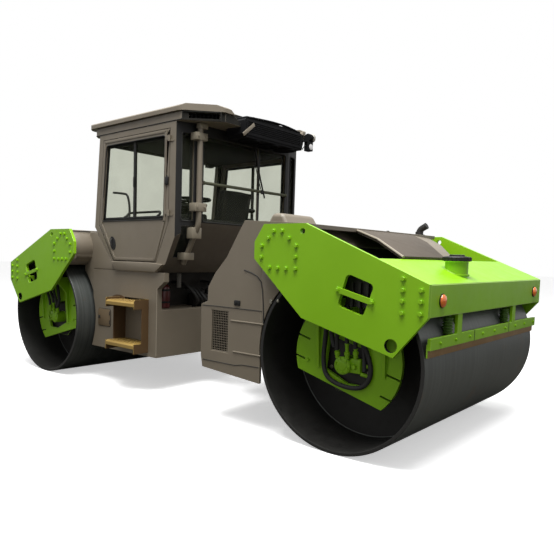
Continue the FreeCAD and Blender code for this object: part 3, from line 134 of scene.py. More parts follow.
def moulded(name, code, grey, grain, depth, smooth, rough, **values):
    """Moulded rubber or plastic: even colour with rubbed patches and a pressed grain."""
    material, tree, shader = start_material(name, **values)
    place = add_node(tree, "TexCoord").outputs["Object"]
    rubbed = add_node(tree, "TexNoise", {"Scale": 6, "Detail": 6, "Roughness": 0.65}, {"Vector": place})
    shade = add_node(tree, "ValToRGB", links={"Fac": rubbed.outputs["Fac"]})
    shade.color_ramp.elements[0].position = 0.42
    shade.color_ramp.elements[1].position = 0.8
    shade.color_ramp.elements[0].color = linear(code)
    shade.color_ramp.elements[1].color = linear(grey)
    sheen = add_node(tree, "MapRange", {"To Min": smooth, "To Max": rough}, {"Value": rubbed.outputs["Fac"]})
    pebbles = add_node(tree, "TexVoronoi", {"Scale": grain}, {"Vector": place})
    bump = add_node(tree, "Bump", {"Strength": 0.35, "Distance": depth}, {"Height": pebbles.outputs["Distance"]})
    tree.links.new(shade.outputs["Color"], shader.inputs["Base Color"])
    tree.links.new(sheen.outputs["Result"], shader.inputs["Roughness"])
    tree.links.new(bump.outputs["Normal"], shader.inputs["Normal"])
    return material


def rolled_steel(name):
    """Drum shell: bare rolled plate polished by the ground, with fine rings and rusty scuffs."""
    material, tree, shader = start_material(name, Metallic=0.45)
    place = add_node(tree, "TexCoord").outputs["Object"]
    # Rings run round the drum, so the pattern changes quickly along Y alone.
    rings = add_node(tree, "Mapping", {"Scale": (0.6, 55, 0.6)}, {"Vector": place})
    lines = add_node(tree, "TexNoise", {"Scale": 1, "Detail": 6, "Roughness": 0.7}, {"Vector": rings.outputs[0]})
    tone = add_node(tree, "ValToRGB", links={"Fac": lines.outputs["Fac"]})
    tone.color_ramp.elements[0].position = 0.3
    tone.color_ramp.elements[1].position = 0.75
    tone.color_ramp.elements[0].color = linear("#434644")
    tone.color_ramp.elements[1].color = linear("#686C69")
    scuffs = add_node(tree, "TexNoise", {"Scale": 3.2, "Detail": 8, "Roughness": 0.7}, {"Vector": place})
    share = add_node(tree, "MapRange", {"From Min": 0.6, "From Max": 0.78, "To Max": 0.55},
                     {"Value": scuffs.outputs["Fac"]})
    colour = add_node(tree, "Mix", {7: linear("#6B5139")}, {0: share.outputs["Result"], 6: tone.outputs["Color"]},
                      data_type="RGBA")
    sheen = add_node(tree, "MapRange", {"To Min": 0.3, "To Max": 0.62}, {"Value": lines.outputs["Fac"]})
    bump = add_node(tree, "Bump", {"Strength": 0.25, "Distance": 0.0008}, {"Height": lines.outputs["Fac"]})
    tree.links.new(colour.outputs[2], shader.inputs["Base Color"])
    tree.links.new(sheen.outputs["Result"], shader.inputs["Roughness"])
    tree.links.new(bump.outputs["Normal"], shader.inputs["Normal"])
    return material


def woven_cover(name):
    """Seat cover: coarse polyester weave, drawn at 3 mm so that it shows."""
    material, tree, shader = start_material(name, Roughness=0.9, Sheen_Weight=0.1, Sheen_Roughness=0.5)
    place = add_node(tree, "TexCoord").outputs["Object"]
    threads = [add_node(tree, "TexWave", {"Scale": 160, "Distortion": 0.4, "Detail": 1}, {"Vector": place},
                        wave_type="BANDS", bands_direction=way) for way in ("X", "Y")]
    weave = add_node(tree, "Math", links={0: threads[0].outputs["Fac"], 1: threads[1].outputs["Fac"]},
                     operation="MAXIMUM")
    shade = add_node(tree, "ValToRGB", links={"Fac": weave.outputs[0]})
    shade.color_ramp.elements[0].color = linear("#0E0F11")
    shade.color_ramp.elements[1].color = linear("#15161A")
    bump = add_node(tree, "Bump", {"Strength": 0.5, "Distance": 0.001}, {"Height": weave.outputs[0]})
    tree.links.new(shade.outputs["Color"], shader.inputs["Base Color"])
    tree.links.new(bump.outputs["Normal"], shader.inputs["Normal"])
    return material


def clear_lens(name, code, **values):
    """Moulded lamp lens: glossy, with fine rings pressed in."""
    material, tree, shader = start_material(name, Roughness=0.12, Coat_Weight=0.6, **values)
    place = add_node(tree, "TexCoord").outputs["Object"]
    ribs = add_node(tree, "TexWave", {"Scale": 45, "Distortion": 0.2}, {"Vector": place}, bands_direction="Z")
    shade = add_node(tree, "ValToRGB", links={"Fac": ribs.outputs["Fac"]})
    red, green, blue, alpha = linear(code)
    shade.color_ramp.elements[0].color = (red * 0.8, green * 0.7, blue * 0.7, 1)
    shade.color_ramp.elements[1].color = (red, green, blue, alpha)
    bump = add_node(tree, "Bump", {"Strength": 0.3, "Distance": 0.001}, {"Height": ribs.outputs["Fac"]})
    tree.links.new(shade.outputs["Color"], shader.inputs["Base Color"])
    tree.links.new(bump.outputs["Normal"], shader.inputs["Normal"])
    return material


def window_glass(name):
    """Toughened safety glass with a faint green-grey tint and a film of dust."""
    material, tree, shader = start_material(name, Roughness=0.03, Alpha=0.12, IOR=1.3)
    place = add_node(tree, "TexCoord").outputs["Object"]
    smear = add_node(tree, "TexNoise", {"Scale": 2.2, "Detail": 6, "Roughness": 0.6}, {"Vector": place})
    shade = add_node(tree, "ValToRGB", links={"Fac": smear.outputs["Fac"]})
    shade.color_ramp.elements[0].color = linear("#2A2E20")
    shade.color_ramp.elements[1].color = linear("#464B38")
    veil = add_node(tree, "MapRange", {"From Min": 0.3, "From Max": 0.8, "To Min": 0.09, "To Max": 0.15},
                    {"Value": smear.outputs["Fac"]})
    tree.links.new(shade.outputs["Color"], shader.inputs["Base Color"])
    tree.links.new(veil.outputs["Result"], shader.inputs["Alpha"])
    return material


def plated(name, code, scratch, metallic, smooth, rough):
    """Bare or plated metal: brushed along its length, with fine scratches."""
    material, tree, shader = start_material(name, Metallic=metallic)
    place = add_node(tree, "TexCoord").outputs["Object"]
    lay = add_node(tree, "Mapping", {"Scale": (4, 90, 90)}, {"Vector": place})
    lines = add_node(tree, "TexNoise", {"Scale": 3, "Detail": 7, "Roughness": 0.7}, {"Vector": lay.outputs[0]})
    shade = add_node(tree, "ValToRGB", links={"Fac": lines.outputs["Fac"]})
    shade.color_ramp.elements[0].position = 0.35
    shade.color_ramp.elements[1].position = 0.7
    shade.color_ramp.elements[0].color = linear(scratch)
    shade.color_ramp.elements[1].color = linear(code)
    sheen = add_node(tree, "MapRange", {"To Min": smooth, "To Max": rough}, {"Value": lines.outputs["Fac"]})
    tree.links.new(shade.outputs["Color"], shader.inputs["Base Color"])
    tree.links.new(sheen.outputs["Result"], shader.inputs["Roughness"])
    return material


MATERIALS = {
    # Two-pack enamel, sprayed over welded plate: even colour, medium gloss.
    "lime_paint": enamel("lime enamel", "#8CC41C", "#82B812", "#6E7A2C", 0.12, 0.34, 0.5,
                         Specular_IOR_Level=0.3, Coat_Weight=0.08, Coat_Roughness=0.2),
    # A lighter lime on rounded edges: painted highlight.
    "lime_highlight": enamel("lime enamel, painted highlight", "#A9D850", "#9CCB42", "#8C9650", 0.12, 0.28, 0.42,
                        Coat_Weight=0.2, Coat_Roughness=0.15),
    # Darker green on the scraper's springs: painted shade, with some dirt.
    "spring_shaded": enamel("dark lime enamel, painted shade", "#4F7A12", "#34520C", "#2E3318", 0.5, 0.4, 0.6),
    # Warm grey enamel on sheet and castings: satin.
    "grey_paint": enamel("warm grey enamel", "#7B7264", "#71685A", "#80735A", 0.3, 0.4, 0.6, Coat_Weight=0.08,
                         Coat_Roughness=0.3),
    # A lighter grey on rounded edges: painted highlight.
    "grey_highlight": enamel("warm grey enamel, painted highlight", "#A39A8A", "#978E7E", "#A09274", 0.3, 0.34, 0.5,
                        Coat_Weight=0.2, Coat_Roughness=0.25),
    "drum_steel": rolled_steel("rolled drum steel"),
    # Black chassis enamel: dull, dusty low down.
    "dark_steel": enamel("black chassis enamel", "#1B1A18", "#141312", "#4A4234", 0.3, 0.45, 0.7),
    "drum_black": enamel("black enamel in the drum", "#141413", "#0F0F0E", "#332F27", 0.25, 0.5, 0.75),
    # Ochre enamel on folded steps: scuffed to a dull sheen.
    "step_paint": enamel("ochre enamel", "#A88C46", "#86692F", "#6E5736", 0.5, 0.4, 0.62),
    "hatch_brown": enamel("ochre primer", "#6B5B42", "#5C4C36", "#5A4A34", 0.5, 0.5, 0.75),
    # A darker ochre on the steps' end faces and between the treads: painted shade.
    "step_shaded": enamel("ochre enamel, painted shade", "#5E4526", "#48331B", "#4A3A22", 0.6, 0.5, 0.75),
    "red_paint": enamel("red enamel", "#5E1214", "#4B0E10", "#4A2A26", 0.3, 0.3, 0.45, Coat_Weight=0.2),
    # A darker, matt grey on the sloping covers: darker than the enamel.
    "cover_dark_grey": enamel("darker grey cover enamel", "#5A5249", "#4C453D", "#5A5044", 0.3, 0.6, 0.8,
                         Specular_IOR_Level=0.25),
    # The same grey, darker, where the sheet faces back and down: painted shade.
    "grey_painted_shade": enamel("warm grey enamel, painted shade", "#5C5448", "#4E463C", "#4A4234", 0.4, 0.5, 0.7),
    # A lighter grey on the post's clamps and box: painted highlight.
    "clamp_highlight_grey": enamel("lighter grey enamel, painted highlight", "#867E6D", "#7B7364", "#857860", 0.3, 0.4, 0.6),
    "light_grey": enamel("light grey enamel", "#B9B6AE", "#A9A69D", "#8F8874", 0.2, 0.35, 0.55),
    # Brown polyurethane strip: matt, chalky.
    "scraper_strip": moulded("brown polyurethane", "#86673F", "#9A7E5C", 180, 0.0006, 0.5, 0.75),
    "rubber": moulded("black rubber", "#151514", "#262523", 300, 0.0004, 0.55, 0.8),
    "hose_grey": moulded("grey braided hose", "#6F6D68", "#8C8981", 420, 0.0005, 0.5, 0.7),
    "sleeve": moulded("olive foam sleeve", "#50523F", "#5E604C", 300, 0.0004, 0.6, 0.85),
    # Glass-filled nylon and ABS: fine pressed grain.
    "black_plastic": moulded("black moulded plastic", "#131313", "#1D1D1C", 520, 0.0003, 0.45, 0.65,
                             Specular_IOR_Level=0.35),
    # Dark cab trim; under the roof's overhang the same dark is painted shade.
    "trim_and_shade": moulded("dark cab trim", "#1C1B18", "#292722", 260, 0.0005, 0.65, 0.85, Specular_IOR_Level=0.2),
    # Radiator paint: dead black, takes no shine from the sky. The same black is painted shade in the tow holes and
    # under the covers.
    "radiator_black_and_shade": moulded("dead black paint, also painted shade", "#0B0B0D", "#141417", 420, 0.0004, 0.7, 0.9,
                              Specular_IOR_Level=0.15),
    "seat_fabric": woven_cover("woven seat cover"),
    "orange_lens": clear_lens("orange lamp lens", "#FF8020"),
    "white_lens": clear_lens("clear lamp lens", "#D9DCDD", Metallic=0.3),
    "glass": window_glass("tinted safety glass"),
    # Hard chrome on ground rod; zinc on bolts.
    "chrome_rod": plated("hard chrome", "#CFCFCB", "#A9A9A5", 1, 0.08, 0.25),
    "zinc": plated("zinc plate", "#B4B2A4", "#8A887B", 0.9, 0.3, 0.5),
}
# Rounded edges take these lighter paints: painted highlight.
EDGES = {"lime_paint": "lime_highlight", "grey_paint": "grey_highlight"}


# Shaping by hand
def only(piece):
    """Leaves one object selected and active."""
    bpy.ops.object.select_all(action="DESELECT")
    piece.select_set(True)
    bpy.context.view_layer.objects.active = piece


def settle(piece, name):
    """Puts a new piece's place into its mesh."""
    piece.name = name
    only(piece)
    bpy.ops.object.transform_apply(location=True, rotation=True, scale=True)
    return piece


def slab(name, low, high):
    """A box between two corners."""
    bpy.ops.object.select_all(action="DESELECT")
    low, high = Vector(low), Vector(high)
    bpy.ops.mesh.primitive_cube_add(size=1, location=(low + high) / 2, scale=high - low)
    return settle(bpy.context.object, name)


def bar(name, start, end, radius, sides=24, tip=None):
    """A round bar or cone from one point to another."""
    bpy.ops.object.select_all(action="DESELECT")
    start, end = Vector(start), Vector(end)
    turn = (end - start).to_track_quat("Z", "Y").to_euler()
    bpy.ops.mesh.primitive_cone_add(vertices=sides, radius1=radius, radius2=radius if tip is None else tip,
                                    depth=(end - start).length, location=(start + end) / 2, rotation=turn)
    return settle(bpy.context.object, name)


def cut_sheet(name, corners, depth):
    """A plate cut to an outline: a filled ring moved to its corners and extruded."""
    bpy.ops.object.select_all(action="DESELECT")
    bpy.ops.mesh.primitive_circle_add(vertices=len(corners), fill_type="NGON")
    piece = settle(bpy.context.object, name)
    for vertex, corner in zip(piece.data.vertices, corners):
        vertex.co = corner
    bpy.ops.object.mode_set(mode="EDIT")
    bpy.ops.mesh.select_all(action="SELECT")
    bpy.ops.mesh.extrude_region_move(TRANSFORM_OT_translate={"value": depth})
    bpy.ops.mesh.select_all(action="SELECT")
    bpy.ops.mesh.normals_make_consistent(inside=False)
    bpy.ops.object.mode_set(mode="OBJECT")
    return piece


def lathe(name, profile, foot, ahead, steps=32):
    """A piece turned from a profile of radius and height, standing on its foot."""
    mesh = bpy.data.meshes.new(name)
    mesh.from_pydata([(r, 0, h) for r, h in profile], [(i, i + 1) for i in range(len(profile) - 1)], [])
    piece = bpy.data.objects.new(name, mesh)
    bpy.context.scene.collection.objects.link(piece)
    only(piece)
    bpy.ops.object.mode_set(mode="EDIT")
    bpy.ops.mesh.select_all(action="SELECT")
    bpy.ops.mesh.spin(steps=steps, angle=2 * math.pi, center=(0, 0, 0), axis=(0, 0, 1))
    bpy.ops.mesh.select_all(action="SELECT")
    bpy.ops.mesh.remove_doubles(threshold=0.0001)
    bpy.ops.mesh.normals_make_consistent(inside=False)
    bpy.ops.object.mode_set(mode="OBJECT")
    piece.matrix_world = Matrix.Translation(foot) @ Vector(ahead).to_track_quat("Z", "Y").to_matrix().to_4x4()
    return settle(piece, name)


def hose(name, points, radius, sides=4, closed=False, order=3):
    """A round hose or bead along a smooth line."""
    curve = bpy.data.curves.new(name, "CURVE")
    curve.dimensions = "3D"
    curve.bevel_depth = radius
    curve.bevel_resolution = sides
    curve.use_fill_caps = not closed
    line = curve.splines.new("NURBS" if order else "POLY")
    line.points.add(len(points) - 1)
    for point, place in zip(line.points, points):
        point.co = (*place, 1)
    if order:
        line.order_u = order
        line.use_endpoint_u = not closed
        line.resolution_u = 6
    line.use_cyclic_u = closed
    piece = bpy.data.objects.new(name, curve)
    bpy.context.scene.collection.objects.link(piece)
    only(piece)
    bpy.ops.object.convert(target="MESH")
    return bpy.context.object


def strip(name, points, radius, closed=False):
    """A thin bead along straight runs, such as a seam, a gasket or a weld."""
    return hose(name, points, radius, 1, closed, None)


def join(name, pieces):
    """Several pieces made one."""
    bpy.ops.object.select_all(action="DESELECT")
    for piece in pieces:
        piece.select_set(True)
    bpy.context.view_layer.objects.active = pieces[0]
    bpy.ops.object.join()
    return settle(pieces[0], name)


def repeat(piece, name, places):
    """Copies a piece from the origin to each place, each with its own mesh, and joins the copies."""
    copies = []
    for place in places:
        copy = bpy.data.objects.new(name, piece.data.copy())
        copy.matrix_world = place if isinstance(place, Matrix) else Matrix.Translation(place)
        bpy.context.scene.collection.objects.link(copy)
        copies.append(copy)
    bpy.data.objects.remove(piece)
    return join(name, copies)


def reflect(piece, name, x, y):
    """A copy on another side of the machine: x and y are 1 or -1."""
    copy = bpy.data.objects.new(name, piece.data.copy())
    copy.data.transform(Matrix.Diagonal((x, y, 1, 1)))
    bpy.context.scene.collection.objects.link(copy)
    if x * y < 0:
        only(copy)
        bpy.ops.object.mode_set(mode="EDIT")
        bpy.ops.mesh.select_all(action="SELECT")
        bpy.ops.mesh.flip_normals()
        bpy.ops.object.mode_set(mode="OBJECT")
    return copy


def choose(piece, kind, test):
    """Opens a piece for editing with the faces or edges that pass a test selected."""
    only(piece)
    bpy.ops.object.mode_set(mode="EDIT")
    bpy.ops.mesh.select_mode(type=kind)
    bpy.ops.mesh.select_all(action="DESELECT")
    bpy.ops.object.mode_set(mode="OBJECT")
    places = [vertex.co.copy() for vertex in piece.data.vertices]
    parts = {"VERT": piece.data.vertices, "EDGE": piece.data.edges, "FACE": piece.data.polygons}[kind]
    for part in parts:
        corners = [part.index] if kind == "VERT" else part.vertices
        part.select = test([places[i] for i in corners])
    bpy.ops.object.mode_set(mode="EDIT")


def roll(piece, test, radius, segments=5):
    """Rounds chosen edges to a large radius, as a bent plate has."""
    choose(piece, "EDGE", test)
    bpy.ops.mesh.bevel(offset=radius, segments=segments, affect="EDGES", clamp_overlap=True)
    bpy.ops.object.mode_set(mode="OBJECT")


def soften(piece, width, segments=2, paint=None, angle=30):
    """Rounds a piece's edges; a lighter paint on them is a painted highlight."""
    only(piece)
    edge = piece.modifiers.new("edge", "BEVEL")
    edge.width = width
    edge.segments = segments
    edge.limit_method = "ANGLE"
    edge.angle_limit = math.radians(angle)
    if paint:
        piece.data.materials.append(MATERIALS[paint])
        edge.material = len(piece.data.materials) - 1
    bpy.ops.object.modifier_apply(modifier="edge")
    bpy.ops.object.shade_smooth_by_angle(angle=math.radians(25))
    return piece


def finish(piece, slot, body, material=None):
    """Gives a piece its finish and the body that it rides on."""
    piece.data.materials.clear()
    piece.data.materials.append(MATERIALS[material or slot])
    only(piece)
    bpy.ops.object.shade_smooth_by_angle(angle=math.radians(35))
    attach(piece, body)
    return piece


def dress(node, width, tones=(), segments=2, angle=30, material=None, shape=None, smooth=25):
    """A copy of a CAD node with merged faces and rounded edges, which stands in for the node."""
    slot = SLOTS[node]
    mesh = nodes[node].data.copy()
    piece = bpy.data.objects.new(node + "_dressed", mesh)
    bpy.context.scene.collection.objects.link(piece)
    only(piece)
    bpy.ops.object.mode_set(mode="EDIT")
    bpy.ops.mesh.select_all(action="SELECT")
    bpy.ops.mesh.remove_doubles(threshold=0.00002)
    bpy.ops.mesh.dissolve_limited(angle_limit=math.radians(0.5))
    bpy.ops.object.mode_set(mode="OBJECT")
    if shape:
        shape(piece)
    mesh.materials.clear()
    mesh.materials.append(MATERIALS[material or slot])
    for tone, test in tones:
        mesh.materials.append(MATERIALS[tone])
        for face in mesh.polygons:
            if test(face.center, face.normal):
                face.material_index = len(mesh.materials) - 1
    # Rounded edges of lime and grey pieces take a lighter paint: painted highlight.
    soften(piece, width, segments, None if material else EDGES.get(slot), angle)
    bpy.ops.object.shade_smooth_by_angle(angle=math.radians(smooth))
    weighted = piece.modifiers.new("flat faces", "WEIGHTED_NORMAL")
    weighted.keep_sharp = True
    bpy.ops.object.modifier_apply(modifier="flat faces")
    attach(piece, BODIES[node])
    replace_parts(piece, node)
    return piece


def round_corners(corners, radius, steps=4):
    """An outline in a plane with its corners rounded."""
    rounded = []
    count = len(corners)
    for i in range(count):
        corner = Vector(corners[i])
        before = (Vector(corners[i - 1]) - corner).normalized()
        after = (Vector(corners[(i + 1) % count]) - corner).normalized()
        half = before.angle(after) / 2
        reach = radius / math.tan(half)
        first, last = corner + before * reach, corner + after * reach
        centre = corner + (before + after).normalized() * (radius / math.sin(half))
        for k in range(steps + 1):
            spoke = (first - centre).lerp(last - centre, k / steps)
            rounded.append(centre + spoke.normalized() * radius)
    return rounded


# The CAD nodes
def finish_nodes():
    """Gives every carried-over node its material."""
    for name, thing in nodes.items():
        thing.data.materials.clear()
        thing.data.materials.append(MATERIALS[SLOTS[name]])


AXLE = (1.825, 0.625)


def long_edge(reach):
    """Tests for edges that run across the machine for at least a reach."""
    return lambda ends: abs(ends[0].y - ends[1].y) > reach


def shape_support(piece):
    """Tapers the two ribs of a drum support and draws its motor in to its real size."""
    middle = sum((vertex.co for vertex in piece.data.vertices), Vector()) / len(piece.data.vertices)
    ahead, side = math.copysign(1, middle.x), math.copysign(1, middle.y)

    def on_rib(places):
        return all(abs(p.y) > 0.90 and math.hypot(abs(p.x) - AXLE[0], p.z - AXLE[1]) > 0.12 for p in places)

    choose(piece, "FACE", on_rib)
    bpy.ops.mesh.bisect(plane_co=(0, 0, 0.86), plane_no=(0, 0, 1))
    bpy.ops.object.mode_set(mode="OBJECT")
    for vertex in piece.data.vertices:
        place = vertex.co
        away = math.hypot(abs(place.x) - AXLE[0], place.z - AXLE[1])
        if abs(place.y) > 1.09 and place.z < 0.87 and away > 0.12:
            place.y = side * (0.950 if place.z > 0.8 else 0.925)
        elif 0.088 < away < 0.096 and abs(place.y) > 0.845:
            place.x = ahead * (AXLE[0] + (abs(place.x) - AXLE[0]) * 0.66)
            place.z = 0.582 + (place.z - AXLE[1]) * 0.66
            place.y = side * min(abs(place.y), 0.955)


def shape_beam(piece):
    """Draws the tube of a cross beam out towards its end flanges and rounds it."""
    long_ones = set()
    for edge in piece.data.edges:
        ends = [piece.data.vertices[i] for i in edge.vertices]
        if long_edge(2.0)([end.co for end in ends]):
            long_ones.update(end.index for end in ends)
    for i in long_ones:
        place = piece.data.vertices[i].co
        place.x = math.copysign(1.3885 + (abs(place.x) - 1.3885) * 1.22, place.x)
        place.z = 1.360 + (place.z - 1.360) * 1.20
    roll(piece, long_edge(2.0), 0.055)


def lower_crown(piece):
    """Takes the ridge off the roof's crown, which is one soft curve."""
    for vertex in piece.data.vertices:
        place = vertex.co
        place.z = min(place.z, 2.636)
        if place.x < 0 and place.z > 2.598:
            place.z = max(2.598, place.z - 0.030 * min(max((abs(place.y) - 0.45) / 0.25, 0), 1))


def thin_cap(piece):
    """Lowers the top of the filler's cap under the ribbed one."""
    for vertex in piece.data.vertices:
        if vertex.co.z > 1.32:
            vertex.co.z = 1.325


def dress_frame():
    """Rounded edges and second colours on the welded and folded pieces."""
    for end in ("front", "rear"):
        ahead = 1 if end == "front" else -1
        for side in ("left", "right"):
            # The tow hole's wall is dead black: painted shade, where the hole looks into the dark drum.
            dress("%s_%s_plate" % (end, side), 0.0025, [
                ("radiator_black_and_shade", lambda c, n: math.hypot(abs(c.x) - 2.258, c.z - 0.786) < 0.0425)])
            dress("%s_%s_support" % (end, side), 0.003, [("dark_steel", lambda c, n: abs(c.y) < 0.879)],
                  shape=shape_support)
        dress(end + "_beam", 0.004, shape=shape_beam, smooth=35)
        dress(end + "_bumper", 0.006)
        dress(end + "_tank", 0.005, [("black_plastic", lambda c, n: c.z > 1.301)], shape=thin_cap)
        dress(end + "_scraper", 0.0015, [
            ("scraper_strip", lambda c, n: c.z < 0.772 and abs(c.x) < 2.45)])
        dress(end + "_drum", 0.004, [
            ("drum_black", lambda c, n, a=ahead: math.hypot(c.x - a * 1.825, c.z - 0.625) < 0.62)])
    dress("engine_hood", 0.007, shape=lambda piece: roll(
        piece, lambda ends: max(p.z for p in ends) > 1.6 and min(p.z for p in ends) > 1.54, 0.032, 4))
    dress("front_body", 0.005, [
        ("dark_steel", lambda c, n: 0 < c.x < 0.53 and abs(c.y) < 0.821 and c.z > 0.781)])
    dress("rear_chassis", 0.004)
    dress("centre_joint", 0.004)
    dress("cab_frame", 0.005, [
        ("trim_and_shade", lambda c, n: -0.05 < c.x < 1.09 and abs(c.y) < 0.832 and 1.178 < c.z < 2.413),
        ("black_plastic", lambda c, n: n.x < -0.8 and c.x < 0 and 1.5 < c.z < 2.46 and abs(c.y) < 0.86),
        # Faces that point back and down take a darker grey: painted shade.
        ("grey_painted_shade", lambda c, n: c.x < 0.2 and n.x < -0.5 and n.z < -0.2 and c.z < 1.6)])
    # Under the roof's overhang its underside and rear fascia take the dark trim: painted shade.
    dress("roof", 0.012, [
        ("black_plastic", lambda c, n: 2.47 < c.z < 2.545 and abs(n.z) < 0.5 and 0.56 < abs(c.y) < 0.82
                                       and -0.33 < c.x < -0.06),
        ("trim_and_shade", lambda c, n: c.x < 0.1 and c.z < 2.543 and (n.z < -0.5 or (n.x < -0.3 and abs(c.y) < 0.885)))],
        4, angle=20, smooth=50, shape=lower_crown)
    dress("roof_unit", 0.006, material="radiator_black_and_shade")
    dress("left_door", 0.004)
    dress("right_door", 0.004)
    # Their end faces and the space between the treads take a darker ochre: painted shade.
    dress("step_treads", 0.0015, [("step_shaded", lambda c, n: abs(n.x) > 0.7 or 0.48 < c.z < 0.80)])


# Pieces of the drum yokes, modelled at the rear left corner and copied to the others
CORNERS = (("rear_left", 1, 1, "rear_frame"), ("rear_right", 1, -1, "rear_frame"),
           ("front_left", -1, 1, "front_frame"), ("front_right", -1, -1, "front_frame"))
# Bolt places on a side plate: X and Z.
ARCH_BOLTS = ((-1.345, 1.480), (-1.417, 1.481), (-1.299, 1.431), (-1.479, 1.430), (-1.243, 1.377),
              (-1.540, 1.379), (-1.240, 1.296), (-1.538, 1.302), (-1.316, 1.226), (-1.388, 1.224),
              (-1.460, 1.223), (-1.539, 1.224))
COLUMN_BOLTS = ((-2.320, 1.192), (-2.320, 1.124), (-2.320, 1.059), (-2.320, 0.988), (-2.435, 1.129),
                (-2.435, 1.062), (-2.435, 0.991))
STRAP_BOLTS = ((-1.879, 1.101), (-2.125, 1.037))


def bolt(radius, height):
    """A hexagon bolt with a washer, standing on the origin along +Y."""
    washer = bar("washer", (0, 0, 0), (0, 0.003, 0), radius * 1.3, 20)
    head = soften(bar("head", (0, 0.002, 0), (0, height, 0), radius, 6), 0.0012, 1)
    return join("bolt", [washer, head])


def on_corners(piece, slot, material=None):
    """Finishes a piece of the rear left corner and its copies at the other three."""
    name = piece.name
    for corner, x, y, body in CORNERS:
        finish(reflect(piece, "%s_%s" % (name, corner), x, y), slot, body, material)
    bpy.data.objects.remove(piece)


def on_ends(piece, slot, material=None):
    """Finishes a piece of the rear end and its copy at the front end."""
    name = piece.name
    for end, x in (("rear", 1), ("front", -1)):
        finish(reflect(piece, "%s_%s" % (name, end), x, 1), slot, end + "_frame", material)
    bpy.data.objects.remove(piece)


def plate_fastenings():
    places = [(x, 1.13, z) for x, z in ARCH_BOLTS + COLUMN_BOLTS]
    on_corners(repeat(bolt(0.014, 0.014), "plate_bolts", places), "lime_paint")
    places = [(x, 1.138, z) for x, z in STRAP_BOLTS]
    on_corners(repeat(bolt(0.012, 0.012), "strap_bolts", places), "lime_paint")
    # Behind the plate's window: the dark end of the tank's shell with its ribs.
    back = [cut_sheet("backing", [(-2.20, 1.02, 0.98), (-1.87, 1.02, 1.0), (-1.90, 1.02, 1.24), (-2.14, 1.02, 1.15)],
                      (0, -0.01, 0))]
    for i in range(4):
        x = -1.93 - 0.055 * i
        back.append(slab("rib", (x - 0.008, 1.0, 0.99), (x + 0.008, 1.045, 1.15)))
    on_corners(join("window_backing", back), "dark_steel")


